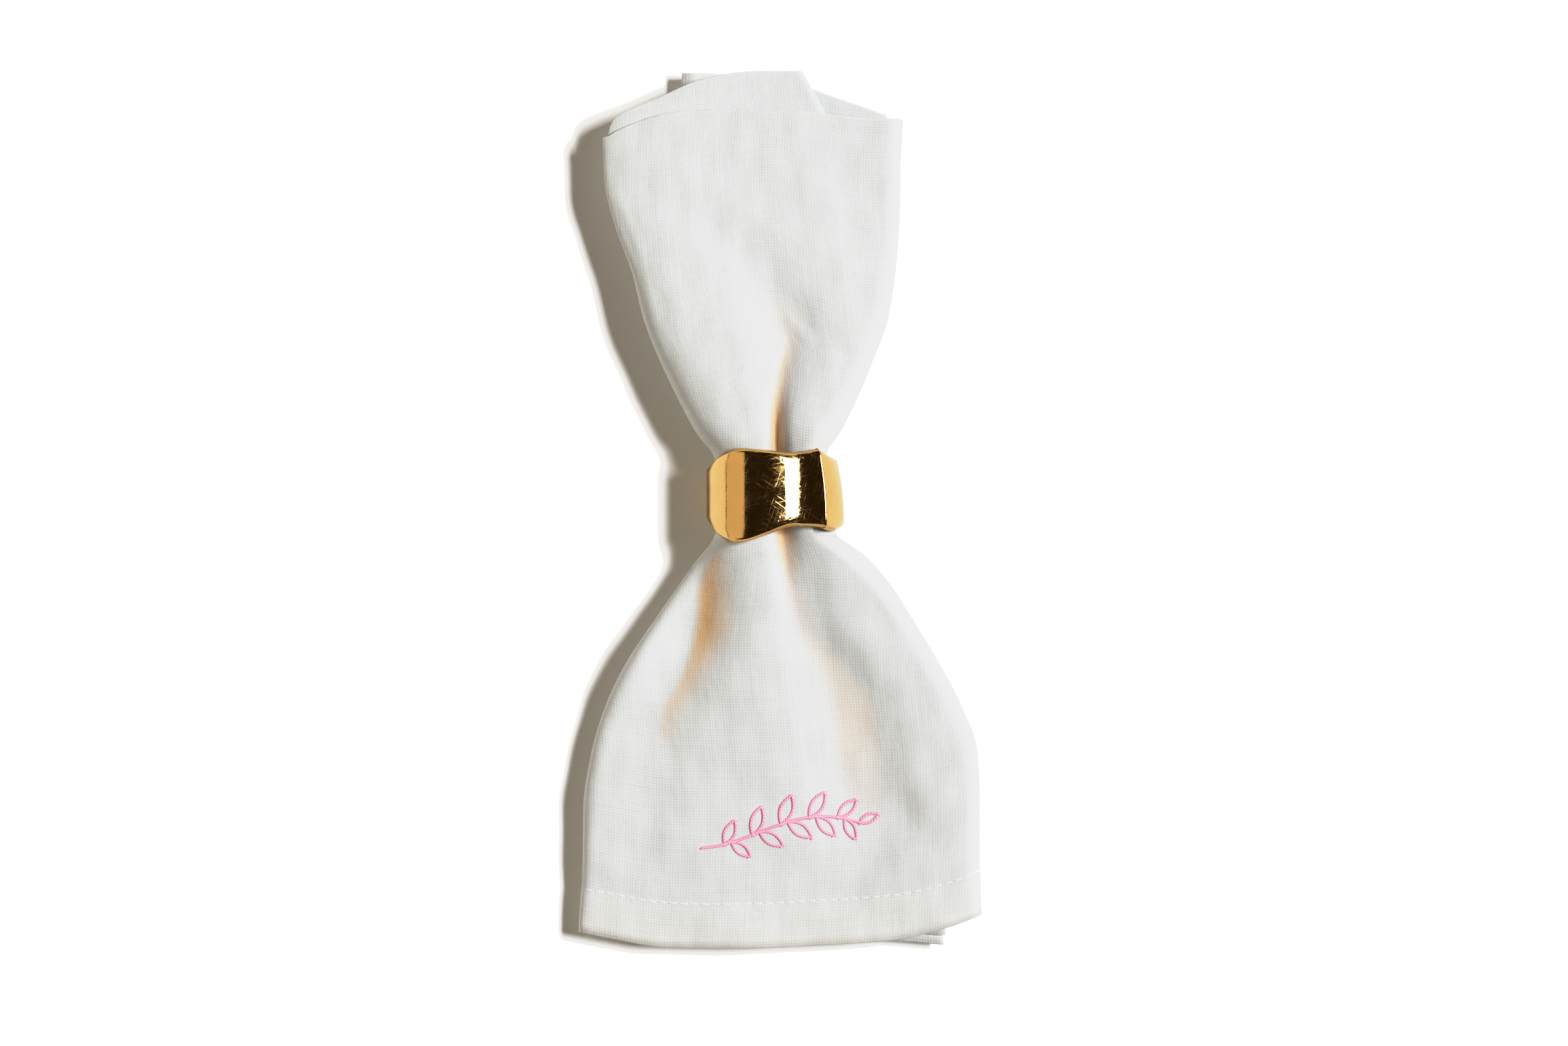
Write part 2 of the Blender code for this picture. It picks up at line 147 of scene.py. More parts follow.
FRONT = [
    Front(-136, -64.0, 63.7, 5.7, 3.7, 1.4, 3.0, 7.4, 7.4),
    Front(-115, -62.9, 63.3, 5.8, 4.0, 3.0, 4.5, 9.2, 9.4),
    Front(-95, -62.6, 63.3, 6.0, 4.6, 4.0, 5.0, 10.8, 10.3),
    Front(-80, -60.5, 62.5, 6.4, 5.4, 5.0, 6.0, 12.6, 10.8),
    Front(-65, -56.4, 57.6, 7.0, 6.2, 5.5, 7.0, 14.8, 11.4),
    Front(-50, -49.6, 50.4, 7.6, 7.0, 5.5, 6.0, 17.4, 12.8),
    Front(-36, -40.5, 42.4, 8.2, 7.6, 5.5, 6.2, 19.6, 15.0),
    Front(-24, -32.2, 34.8, 8.6, 8.2, 7.0, 7.0, 21.0, 17.6),
    Front(-15, -25.6, 27.0, 8.8, 8.6, 8.0, 8.5, 22.0, 19.4),
    Front(-11, -22.2, 21.6, 8.6, 9.0, 10.0, 9.0, 22.4, 20.2),
    Front(-7, -20.3, 16.4, 8.4, 9.2, 10.4, 7.4, 22.4, 19.0),
    Front(5, -19.9, 15.8, 8.4, 9.4, 10.4, 7.0, 22.4, 18.8),
    Front(14, -19.9, 14.4, 8.4, 9.4, 12.0, 6.6, 22.4, 18.8),
    Front(18, -21.3, 14.2, 8.6, 9.2, 14.0, 6.6, 22.4, 19.2),
    Front(24, -26.0, 18.0, 10.0, 8.8, 14.5, 9.0, 22.8, 20.4),
    Front(34, -31.5, 23.2, 10.8, 8.2, 15.0, 7.4, 22.2, 18.0),
    Front(48, -38.0, 29.1, 11.4, 7.4, 16.0, 6.4, 21.4, 14.8),
    Front(62, -43.0, 34.0, 12.0, 6.6, 14.0, 5.6, 20.4, 12.2),
    Front(80, -46.9, 36.6, 12.6, 6.0, 12.0, 4.8, 19.0, 10.4),
    Front(98, -52.5, 37.8, 13.0, 5.2, 14.0, 5.0, 17.6, 9.4),
    Front(112, -55.5, 38.0, 13.2, 4.6, 12.0, 4.5, 16.4, 9.0),
    Front(127, -56.2, 38.8, 13.4, 4.2, 8.0, 4.0, 15.2, 8.6),
]

UNDER = [
    Under(-136, 0.0, -60.0, -58.0, 51.5, 14.0),
    Under(-95, 0.0, -59.0, -57.0, 50.0, 12.0),
    Under(-60, 0.0, -50.0, -47.0, 40.0, 20.0),
    Under(-36, 0.0, -35.0, -32.0, 27.0, 20.0),
    Under(-20, 1.0, -23.0, -21.0, 17.0, 12.0),
    Under(-11, 2.55, -15.0, -15.5, 10.5, 8.0),
    Under(5, 2.55, -14.0, -15.0, 9.5, 7.5),
    Under(20, 2.55, -15.0, -16.0, 10.0, 8.0),
    Under(30, 1.0, -21.0, -22.0, 14.5, 12.0),
    Under(48, 0.0, -29.0, -31.0, 21.0, 19.0),
    Under(80, 0.0, -34.0, -38.0, 26.5, 24.0),
    Under(112, 0.0, -33.0, -40.0, 14.0, 10.0),
    Under(127, 0.0, -31.5, -38.0, 5.5, 2.0),
]

CENTRE_GROOVE = [
    Fold(-34, 2.4, 1.8, 5.0, 0.0),
    Fold(-22, 0.8, 1.8, 5.0, 1.4),
    Fold(-13, -0.2, 1.8, 5.2, 3.6),
    Fold(-6, -0.6, 1.8, 4.8, 5.8),
    Fold(5, -1.2, 1.8, 4.0, 6.2),
    Fold(19, -2.2, 1.7, 4.0, 6.6),
    Fold(27, -2.2, 1.6, 4.0, 6.2),
    Fold(34, -2.0, 1.6, 4.2, 4.8),
    Fold(42, -0.9, 1.6, 4.6, 2.9),
    Fold(50, 1.2, 1.6, 4.4, 1.3),
    Fold(58, 3.0, 1.6, 4.0, 0.0),
]

BROAD_VALLEY = [
    Fold(-136, 16.0, 18.0, 14.0, 0.3),
    Fold(-124, 16.0, 20.0, 14.0, 1.4),
    Fold(-113, 20.0, 18.0, 14.0, 2.2),
    Fold(-103, 31.0, 18.0, 15.0, 2.8),
    Fold(-85, 25.0, 16.0, 14.0, 3.6),
    Fold(-65, 23.0, 14.0, 14.5, 4.2),
    Fold(-50, 15.5, 11.0, 11.5, 3.9),
    Fold(-36, 7.5, 8.0, 10.5, 3.4),
    Fold(-20, 3.0, 5.0, 10.5, 3.0),
    Fold(-7, 1.5, 4.0, 8.0, 2.6),
    Fold(5, 1.0, 4.0, 6.5, 2.2),
    Fold(20, 0.6, 4.0, 7.0, 2.0),
    Fold(35, -0.6, 5.0, 9.0, 1.8),
    Fold(48, 0.6, 7.0, 9.6, 3.0),
    Fold(60, 0.0, 8.0, 11.5, 3.6),
    Fold(76, -9.0, 9.0, 11.5, 1.9),
    Fold(95, -24.0, 10.0, 11.0, 0.7),
    Fold(108, -26.0, 10.0, 11.0, 0.0),
]

LEFT_VALLEY = [
    Fold(-100, -46.0, 20.0, 18.0, 0.0),
    Fold(-85, -44.0, 20.0, 17.0, 1.6),
    Fold(-65, -40.5, 20.0, 14.4, 5.3),
    Fold(-50, -32.5, 20.0, 12.6, 7.0),
    Fold(-36, -28.3, 18.0, 13.4, 9.5),
    Fold(-26, -27.4, 14.0, 11.8, 9.5),
    Fold(-18, -25.4, 8.0, 9.4, 8.2),
    Fold(-12, -23.0, 6.0, 7.0, 4.6),
    Fold(-5, -22.0, 6.0, 6.0, 0.0),
]

# Each fold, and how steep its left and its right wall are: 2 is a bell curve, more is steeper.
FOLDS = [(CENTRE_GROOVE, 2.8, 2.3), (BROAD_VALLEY, 2.0, 2.6), (LEFT_VALLEY, 2.0, 1.7)]

GATHERS = [
    Gather(-120, 0.0, 15.0),
    Gather(-95, 0.5, 14.0),
    Gather(-60, 1.6, 12.0),
    Gather(-30, 1.6, 9.0),
    Gather(5, 1.3, 7.0),
    Gather(40, 1.8, 9.0),
    Gather(70, 2.0, 12.0),
    Gather(95, 1.2, 14.0),
    Gather(108, 0.0, 15.0),
]

FOLD_ENDS = {
    Panel.FRONT: [Edge(-56.2, 118.0), Edge(-54.6, 118.4), Edge(-52.7, 119.6), Edge(-44.2, 123.3),
                  Edge(-33.6, 126.0), Edge(-20, 127.0), Edge(6, 126.6), Edge(16, 125.6), Edge(27, 124.4), Edge(38.8, 124.4)],
    Panel.MIDDLE: [Edge(-56.2, 117.6), Edge(-54.9, 118.4), Edge(-53.7, 122.8), Edge(-51.8, 124.8),
                   Edge(-38.5, 130.9), Edge(-24.4, 136.9), Edge(-8, 139.6), Edge(5.5, 139.7)],
    Panel.INNER: [Edge(-38, 130.0), Edge(-22, 135.6), Edge(-8, 138.6), Edge(5.5, 139.7)],
    Panel.BOTTOM: [Edge(-31.5, 139.0), Edge(-18, 139.0), Edge(7, 135.5), Edge(19.3, 131.3),
                   Edge(30, 127.7), Edge(38.8, 124.4)],
}
HEM_ENDS = {
    Panel.FRONT: [Edge(-64, -134.7), Edge(-53, -136.8), Edge(-36, -139.5), Edge(-15, -139.8),
                  Edge(10, -138.9), Edge(35, -137.2), Edge(54, -132.8), Edge(63.7, -129.1)],
    Panel.MIDDLE: [Edge(-64, -134.7), Edge(-40, -137.6), Edge(0, -138.2), Edge(36, -137.6),
                   Edge(51.5, -138.8)],
    Panel.INNER: [Edge(-58, -134.0), Edge(0, -137.6), Edge(36, -137.6), Edge(51.5, -138.8)],
    Panel.BOTTOM: [Edge(-60, -134.0), Edge(0, -137.0), Edge(40, -135.6), Edge(63.7, -129.1)],
}

BAND = [
    Band(-14.0, 0.0, -7.0, 16.0),
    Band(-1.5, 0.0, -7.0, 16.2),
    Band(12.5, 0.0, -6.6, 16.4),
    Band(18.0, 2.7, -6.2, 16.6),
    Band(20.0, 8.0, -5.8, 16.8),
    Band(20.2, 12.0, -5.6, 17.0),
    Band(19.0, 16.0, -6.4, 17.4),
    Band(17.2, 19.8, -6.6, 18.3),
    Band(15.5, 22.5, -6.2, 19.2),
    Band(14.72, 23.5, -5.9, 19.5),
    Band(14.3, 23.96, -5.8, 19.5),
    Band(12.6, 23.75, -5.4, 19.4),
    Band(9.6, 23.42, -5.1, 18.8),
    Band(7.2, 23.68, -5.1, 18.6),
    Band(5.4, 24.14, -5.1, 18.4),
    Band(2.4, 25.28, -5.5, 18.4),
    Band(1.0, 25.72, -5.9, 18.5),
    Band(-3.5, 26.7, -7.6, 18.9),
    Band(-8.5, 27.0, -9.2, 19.3),
    Band(-13.0, 26.0, -10.2, 19.6),
    Band(-16.6, 23.6, -10.2, 19.2),
    Band(-20.0, 19.6, -8.4, 17.6),
    Band(-22.7, 14.5, -5.0, 15.0),
    Band(-23.7, 9.5, -3.6, 14.0),
    Band(-22.4, 4.5, -4.6, 14.6),
    Band(-18.6, 1.0, -6.2, 15.6),
]

CREASES = [
    Crease(-46, 118.6, 2, 120.6, 1.6, -0.22),
    Crease(2, 120.6, 38, 118.0, 1.6, -0.2),
    Crease(3.6, 59.6, 8.6, 54.2, 1.5, 0.7),
    Crease(-50, 96, -45, 84, 1.8, 0.5),
    Crease(-47, 90, -41, 70, 2.4, -0.45),
    Crease(-44, 80, -40, 62, 1.8, 0.4),
    Crease(-14, 118, -16, 78, 3.2, 0.25),
    Crease(10, 112, 20, 70, 4.5, 0.3),
    Crease(-46, -60, -52, -92, 3.5, 0.3),
    Crease(-36, -84, -44, -104, 5.0, -0.6),
    Crease(34, -84, 45, -104, 5.5, -0.7),
    Crease(46, -96, 56, -84, 4.0, 0.45),
    Crease(-10, -92, 28, -96, 4.0, -0.25),
    Crease(-52, -117, -20, -122, 2.4, 0.22),
    Crease(8, -122, 48, -114, 2.6, 0.25),
]

RIPPLES = [
    Ripple(34.0, 20.0, 0.3, 0.22),
    Ripple(23.0, 105.0, 1.9, 0.16),
    Ripple(17.0, 62.0, 4.1, 0.12),
    Ripple(12.5, 148.0, 2.6, 0.08),
    Ripple(9.0, 8.0, 5.2, 0.05),
]


def curve_through(places: Sequence[float], values: Sequence[float], at: Any) -> Array:
    """Reads a smooth curve that never overshoots between two of its points.

    Args:
        places: Where the points lie, rising.
        values: The value at each place.
        at: The place or places to read.

    Returns:
        The curve's value at each wanted place.
    """
    places = np.asarray(places, float)
    values = np.asarray(values, float)
    at = np.clip(at, places[0], places[-1])
    gaps = np.diff(places)
    rises = np.diff(values) / gaps
    before, after = rises[:-1], rises[1:]
    same_way = before * after > 0
    total = np.where(same_way, before + after, 1.0)
    bends = np.where(same_way, 2 * before * after / total, 0.0)
    slopes = np.concatenate([rises[:1], bends, rises[-1:]])
    k = np.clip(np.searchsorted(places, at, side="right") - 1, 0, len(gaps) - 1)
    t = (at - places[k]) / gaps[k]
    left = values[k] * (1 + 2 * t) * (1 - t) ** 2 + slopes[k] * gaps[k] * t * (1 - t) ** 2
    right = values[k + 1] * t**2 * (3 - 2 * t) + slopes[k + 1] * gaps[k] * t**2 * (t - 1)
    return left + right


def row_at(table: Sequence[Any], y: float) -> Any:
    """Reads a table at any y.

    Args:
        table: Rows of one kind, each with its y.
        y: The place to read.

    Returns:
        A row of the same kind, each column read from its smooth curve.
    """
    places = [row.y for row in table]
    columns = {name: float(curve_through(places, [getattr(row, name) for row in table], y))
               for name in table[0]._fields if name != "y"}
    return type(table[0])(y=y, **columns)


def ease(value: Any, start: float, end: float) -> Array:
    """Goes smoothly from 0 at start to 1 at end.

    Args:
        value: The place or places to read.
        start: Where the result leaves 0.
        end: Where the result reaches 1.

    Returns:
        The eased share at each place.
    """
    t = np.clip((value - start) / (end - start), 0.0, 1.0)
    return t * t * (3 - 2 * t)


def resampled(points: Array, steps: int, bend_length: float = 0.0) -> Array:
    """Cuts a polyline into equal steps.

    Args:
        points: The polyline's points.
        steps: How many steps to cut it into.
        bend_length: The length that one radian of bend counts for, so that bends get shorter steps.

    Returns:
        The steps' ends, one more than steps.
    """
    sides = np.diff(points, axis=0)
    lengths = np.linalg.norm(sides, axis=1)
    headings = np.unwrap(np.arctan2(sides[:, 1], sides[:, 0]))
    turns = np.concatenate([[0.0], np.abs(np.diff(headings))])
    places = np.concatenate([[0.0], np.cumsum(lengths + bend_length * turns)])
    wanted = np.linspace(0.0, places[-1], steps + 1)
    return np.column_stack([np.interp(wanted, places, points[:, k]) for k in range(points.shape[1])])


def bell_weights(spread: float, step: float) -> Array:
    """Weights of a bell curve that add up to 1.

    Args:
        spread: The bell's standard deviation.
        step: The distance between two weights.

    Returns:
        The weights, out to three spreads each way.
    """
    reach = int(3 * spread / step)
    weights = np.exp(-0.5 * (np.arange(-reach, reach + 1) * step / spread) ** 2)
    return weights / weights.sum()


def bend(start: Array, start_pull: Array, end_pull: Array, end: Array, steps: int = 60) -> Array:
    """Draws a cubic curve between two points.

    Args:
        start: The first point.
        start_pull: The point that the curve leaves towards.
        end_pull: The point that the curve arrives from.
        end: The last point.
        steps: How many points the polyline has.

    Returns:
        The curve as a fine polyline.
    """
    t = np.linspace(0.0, 1.0, steps)[:, None]
    return ((1 - t) ** 3 * start + 3 * t * (1 - t) ** 2 * start_pull
            + 3 * t**2 * (1 - t) * end_pull + t**3 * end)


def kept_below(x: Array, height: Array, spacing: float) -> Array:
    """The highest line that stays at least this spacing below another.

    Args:
        x: Places across the line.
        height: The other line's height at each place.
        spacing: The least distance between the two.

    Returns:
        The line's height at each place.
    """
    apart = x[None, :] - x[:, None]
    near = np.abs(apart) < spacing
    drop = np.sqrt(np.where(near, spacing**2 - apart**2, 0.0))
    return np.where(near, height[None, :] - drop, np.inf).min(axis=1)


def linear_colour(code: str) -> tuple[float, float, float, float]:
    """Turns an sRGB hex colour to linear light.

    Args:
        code: Six hex digits after a hash mark.

    Returns:
        Red, green, blue and an alpha of 1.
    """
    channels = [int(code[k:k + 2], 16) / 255 for k in (1, 3, 5)]
    light = [c / 12.92 if c <= 0.04045 else ((c + 0.055) / 1.055) ** 2.4 for c in channels]
    return (light[0], light[1], light[2], 1.0)


def add_node(tree: bpy.types.NodeTree, kind: str, settings: dict[str, Any] | None = None,
             values: dict[Any, Any] | None = None, links: dict[Any, Any] | None = None) -> bpy.types.Node:
    """Adds a node to a material.

    Args:
        tree: The material's node tree.
        kind: The node's type name.
        settings: The node's own settings by name.
        values: Constant values by input name or number.
        links: The sockets to link from, by input name or number.

    Returns:
        The new node.
    """
    node = tree.nodes.new(kind)
    for name, value in (settings or {}).items():
        setattr(node, name, value)
    for key, value in (values or {}).items():
        node.inputs[key].default_value = value
    for key, source in (links or {}).items():
        tree.links.new(source, node.inputs[key])
    return node


def new_material(name: str) -> tuple[bpy.types.Material, bpy.types.NodeTree, bpy.types.Node]:
    """Makes a material with one Principled shader.

    Args:
        name: The material's name.

    Returns:
        The material, its node tree and its shader node.
    """
    material = bpy.data.materials.new(name)
    material.use_nodes = True
    tree = material.node_tree
    return material, tree, tree.nodes["Principled BSDF"]


def grid_object(name: str, rows: Array, rows_close: bool, row_closes: bool, uv: Array) -> bpy.types.Object:
    """Makes an object whose faces join each row of points to the next.

    Args:
        name: The object's name.
        rows: Points in millimetres, by row, place in the row and axis.
        rows_close: Whether the last row joins the first.
        row_closes: Whether each row's last point joins its first.
        uv: Flat places in metres, by row and place, one more of each where the grid closes.

    Returns:
        The object, linked to the scene and shaded smooth.
    """
    count, width = rows.shape[:2]
    k, j = np.meshgrid(np.arange(count if rows_close else count - 1),
                       np.arange(width if row_closes else width - 1), indexing="ij")
    k, j = k.ravel(), j.ravel()
    corners = [(k, j), (k, j + 1), (k + 1, j + 1), (k + 1, j)]
    faces = np.column_stack([(a % count) * width + b % width for a, b in corners])
    mesh = bpy.data.meshes.new(name)
    mesh.from_pydata((rows.reshape(-1, 3) * MM).tolist(), [], faces.tolist())
    flat = np.stack([uv[a, b] for a, b in corners], axis=1)
    layer = mesh.uv_layers.new(name="flat")
    layer.data.foreach_set("uv", flat.astype(np.float32).ravel())
    mesh.shade_smooth()
    mesh.update()
    piece = bpy.data.objects.new(name, mesh)
    bpy.context.scene.collection.objects.link(piece)
    return piece


@dataclass(frozen=True)
class BleachedLinen:
    """Bleached linen, plain-woven and washed. The eye sees a matt white cloth with uneven threads, and its
    folds carry a painted warm shade.
    """

    colour: str = "#CFCFCF"
    gap_colour: str = "#C4C4C1"
    # Painted shade: deep in a fold the base colour is tinted warm brown, standing in for the warm shade of
    # light that has passed through several layers there.
    painted_fold_shade_colour: str = "#D2A05F"
    painted_fold_shade_share: float = 0.85
    painted_fold_shade_start: float = 2.8
    fold_depth: float = 8.5
    # The real threads lie 0.45 mm apart, too fine to show, so they are drawn twice as coarse.
    thread_pitch: float = 0.9
    thread_height: float = 0.05
    # A slub is a thick stretch of yarn: as wide as two threads and some centimetres long.
    slub_width: float = 1.1
    slub_length: float = 26.0
    slub_height: float = 0.04
    # How much the threads' tops and the slubs lighten the cloth.
    thread_shade: float = 0.55
    slub_shade: float = 0.3
    # The soft puckers of washed linen.
    pucker_size: float = 5.0
    pucker_height: float = 0.22
    roughness: float = 0.88
    sheen: float = 0.1
    sheen_roughness: float = 0.45
    specular: float = 0.18
    # Light passes through the yarn, so shaded folds glow a little, warmest where it is thickest.
    glow: float = 0.25
    glow_reach: float = 3.0
    glow_colour: str = "#FFDCB4"

    def stretched_noise(self, tree: bpy.types.NodeTree, flat: Any, across: float, along: float,
                        detail: float) -> Any:
        """Noise with its own size in the two thread directions.

        Args:
            tree: The material's node tree.
            flat: The socket that gives the cloth's flat place in metres.
            across: The noise's size along the cloth's width, in millimetres.
            along: The noise's size along its length, in millimetres.
            detail: How many finer octaves it has.

        Returns:
            The socket with the noise, about 0.5.
        """
        placed = add_node(tree, "ShaderNodeVectorMath", {"operation": "MULTIPLY"},
                          {1: (1 / (across * MM), 1 / (along * MM), 1.0)}, {0: flat})
        noise = add_node(tree, "ShaderNodeTexNoise", {"noise_dimensions": "2D"},
                         {"Scale": 1.0, "Detail": detail, "Roughness": 0.5}, {"Vector": placed.outputs[0]})
        return noise.outputs[0]

    def thread_wave(self, tree: bpy.types.NodeTree, place: Any) -> Any:
        """The rounded tops of one set of parallel threads.

        Args:
            tree: The material's node tree.
            place: The socket with the place across the threads, in metres.

        Returns:
            The socket with a height from 0 between two threads to 1 on a thread.
        """
        turned = add_node(tree, "ShaderNodeMath", {"operation": "MULTIPLY"},
                          {1: math.pi / (self.thread_pitch * MM)}, {0: place})
        wave = add_node(tree, "ShaderNodeMath", {"operation": "SINE"}, None, {0: turned.outputs[0]})
        return add_node(tree, "ShaderNodeMath", {"operation": "ABSOLUTE"}, None,
                        {0: wave.outputs[0]}).outputs[0]

    def summed(self, tree: bpy.types.NodeTree, parts: list[tuple[Any, float]]) -> Any:
        """Adds sockets, each times its own weight.

        Args:
            tree: The material's node tree.
            parts: Pairs of a socket and its weight.

        Returns:
            The socket with the sum.
        """
        total: Any = None
        for socket, weight in parts:
            node = add_node(tree, "ShaderNodeMath", {"operation": "MULTIPLY_ADD"}, {1: weight, 2: 0.0},
                            {0: socket} if total is None else {0: socket, 2: total})
            total = node.outputs[0]
        return total

    def material(self) -> bpy.types.Material:
        """Makes the linen's material, which reads the cloth's flat places and its fold_depth attribute for the
        painted warm shade in the folds.
        """
        material, tree, shader = new_material("bleached plain-woven linen")
        flat = add_node(tree, "ShaderNodeUVMap", {"uv_map": "flat"}).outputs[0]
        split = add_node(tree, "ShaderNodeSeparateXYZ", None, None, {0: flat})
        warp = self.thread_wave(tree, split.outputs[0])
        weft = self.thread_wave(tree, split.outputs[1])
        crossed = add_node(tree, "ShaderNodeMath", {"operation": "MULTIPLY"}, None, {0: warp, 1: weft})
        weave = crossed.outputs[0]
        slub_along = self.stretched_noise(tree, flat, self.slub_width, self.slub_length, 1.0)
        slub_across = self.stretched_noise(tree, flat, self.slub_length, self.slub_width, 1.0)
        pucker = self.stretched_noise(tree, flat, self.pucker_size, self.pucker_size * 1.6, 2.0)
        height = self.summed(tree, [(weave, self.thread_height), (slub_along, self.slub_height),
                                    (slub_across, self.slub_height), (pucker, self.pucker_height)])
        bump = add_node(tree, "ShaderNodeBump", None, {"Strength": 1.0, "Distance": MM}, {"Height": height})
        lit = self.summed(tree, [(weave, self.thread_shade), (slub_along, self.slub_shade),
                                 (slub_across, self.slub_shade)])
        shade = add_node(tree, "ShaderNodeMapRange", None, {1: 0.15, 2: 0.85, 3: 0.0, 4: 1.0}, {0: lit})
        colour = add_node(tree, "ShaderNodeMix", {"data_type": "RGBA"},
                          {6: linear_colour(self.gap_colour), 7: linear_colour(self.colour)},
                          {0: shade.outputs[0]})
        # Painted shade: the fold_depth attribute tints the base colour warm brown deep in the folds.
        painted_shade_source = add_node(tree, "ShaderNodeAttribute", {"attribute_name": "fold_depth"})
        painted_shade_amount = add_node(tree, "ShaderNodeMapRange", None,
                          {1: self.painted_fold_shade_start, 2: self.fold_depth, 3: 0.0, 4: self.painted_fold_shade_share},
                          {0: painted_shade_source.outputs["Fac"]})
        painted_shade_mix = add_node(tree, "ShaderNodeMix", {"data_type": "RGBA"}, {7: linear_colour(self.painted_fold_shade_colour)},
                          {0: painted_shade_amount.outputs[0], 6: colour.outputs[2]})
        tree.links.new(painted_shade_mix.outputs[2], shader.inputs["Base Color"])
        tree.links.new(bump.outputs[0], shader.inputs["Normal"])
        shader.inputs["Roughness"].default_value = self.roughness
        shader.inputs["Sheen Weight"].default_value = self.sheen
        shader.inputs["Sheen Roughness"].default_value = self.sheen_roughness
        shader.inputs["Specular IOR Level"].default_value = self.specular
        shader.inputs["Subsurface Weight"].default_value = self.glow
        shader.inputs["Subsurface Scale"].default_value = self.glow_reach * MM
        shader.inputs["Subsurface Radius"].default_value = linear_colour(self.glow_colour)[:3]
        return material


@dataclass(frozen=True)
class GoldPlatedBrass:
    """Brass, cast, polished and gold-plated. The eye sees a mirror with hairline scratches from wiping."""

    colour: str = "#D6B074"
    worn_colour: str = "#CDA565"
    roughness: float = 0.07
    worn_roughness: float = 0.32
    # Real hairlines are some hundredths of a millimetre wide and too fine to show, so these are coarser.
    scratch_width: float = 0.22
    scratch_length: float = 9.0
    scratch_height: float = 0.006
    scratch_angles: tuple[float, ...] = (12.0, -34.0, 71.0)
    scratch_start: float = 0.6
    scratch_full: float = 0.8
    wave_size: float = 7.0
    wave_height: float = 0.002

    def material(self) -> bpy.types.Material:
        """Makes the ring's material, which reads the places round and across the band."""
        material, tree, shader = new_material("polished gold-plated brass")
        flat = add_node(tree, "ShaderNodeUVMap", {"uv_map": "flat"}).outputs[0]
        layers = []
        for angle in self.scratch_angles:
            turned = add_node(tree, "ShaderNodeVectorRotate", {"rotation_type": "Z_AXIS"},
                              {"Angle": math.radians(angle)}, {"Vector": flat})
            placed = add_node(tree, "ShaderNodeVectorMath", {"operation": "MULTIPLY"},
                              {1: (1 / (self.scratch_length * MM), 1 / (self.scratch_width * MM), 1.0)},
                              {0: turned.outputs[0]})
            noise = add_node(tree, "ShaderNodeTexNoise", {"noise_dimensions": "2D"},
                             {"Scale": 1.0, "Detail": 2.0, "Roughness": 0.6},
                             {"Vector": placed.outputs[0]})
            layers.append(noise.outputs[0])
        both = add_node(tree, "ShaderNodeMath", {"operation": "MAXIMUM"}, None, {0: layers[0], 1: layers[1]})
        lines = add_node(tree, "ShaderNodeMath", {"operation": "MAXIMUM"}, None,
                         {0: both.outputs[0], 1: layers[2]})
        scratch = add_node(tree, "ShaderNodeMapRange", None,
                           {1: self.scratch_start, 2: self.scratch_full, 3: 0.0, 4: 1.0},
                           {0: lines.outputs[0]})
        slow = add_node(tree, "ShaderNodeTexNoise", {"noise_dimensions": "2D"},
                        {"Scale": 1 / (self.wave_size * MM), "Detail": 1.0}, {"Vector": flat})
        height = add_node(tree, "ShaderNodeMath", {"operation": "MULTIPLY_ADD"},
                          {1: self.wave_height, 2: 0.0}, {0: slow.outputs[0]})
        cut = add_node(tree, "ShaderNodeMath", {"operation": "MULTIPLY_ADD"}, {1: -self.scratch_height},
                       {0: scratch.outputs[0], 2: height.outputs[0]})
        bump = add_node(tree, "ShaderNodeBump", None, {"Strength": 1.0, "Distance": MM},
                        {"Height": cut.outputs[0]})
        rough = add_node(tree, "ShaderNodeMapRange", None,
                         {1: 0.0, 2: 1.0, 3: self.roughness, 4: self.worn_roughness},
                         {0: scratch.outputs[0]})
        colour = add_node(tree, "ShaderNodeMix", {"data_type": "RGBA"},
                          {6: linear_colour(self.colour), 7: linear_colour(self.worn_colour)},
                          {0: slow.outputs[0]})
        tree.links.new(colour.outputs[2], shader.inputs["Base Color"])
        tree.links.new(rough.outputs[0], shader.inputs["Roughness"])
        tree.links.new(bump.outputs[0], shader.inputs["Normal"])
        shader.inputs["Metallic"].default_value = 1.0
        return material


@dataclass(frozen=True)
class TwistedThread:
    """Mercerised cotton thread, plied and dyed. The eye sees a soft gloss broken by the slanting plies."""

    name: str
    colour: str
    groove_colour: str
    # Two plies twisted at about three turns a centimetre, drawn as slanting bands along each stitch.
    ply_pitch: float = 0.5
    roughness: float = 0.5
    sheen: float = 0.3

    def material(self) -> bpy.types.Material:
        """Makes the thread's material, which reads the places along and round each stitch."""
        material, tree, shader = new_material(self.name)
        flat = add_node(tree, "ShaderNodeUVMap", {"uv_map": "flat"}).outputs[0]
        twist = add_node(tree, "ShaderNodeTexWave", {"bands_direction": "DIAGONAL"},
                         {"Scale": 0.3 / (self.ply_pitch * MM), "Distortion": 0.4}, {"Vector": flat})
        colour = add_node(tree, "ShaderNodeMix", {"data_type": "RGBA"},
                          {6: linear_colour(self.groove_colour), 7: linear_colour(self.colour)},
                          {0: twist.outputs[1]})
        bump = add_node(tree, "ShaderNodeBump", None, {"Strength": 0.5, "Distance": 0.05 * MM},
                        {"Height": twist.outputs[1]})
        tree.links.new(colour.outputs[2], shader.inputs["Base Color"])
        tree.links.new(bump.outputs[0], shader.inputs["Normal"])
        shader.inputs["Roughness"].default_value = self.roughness
        shader.inputs["Sheen Weight"].default_value = self.sheen
        return material


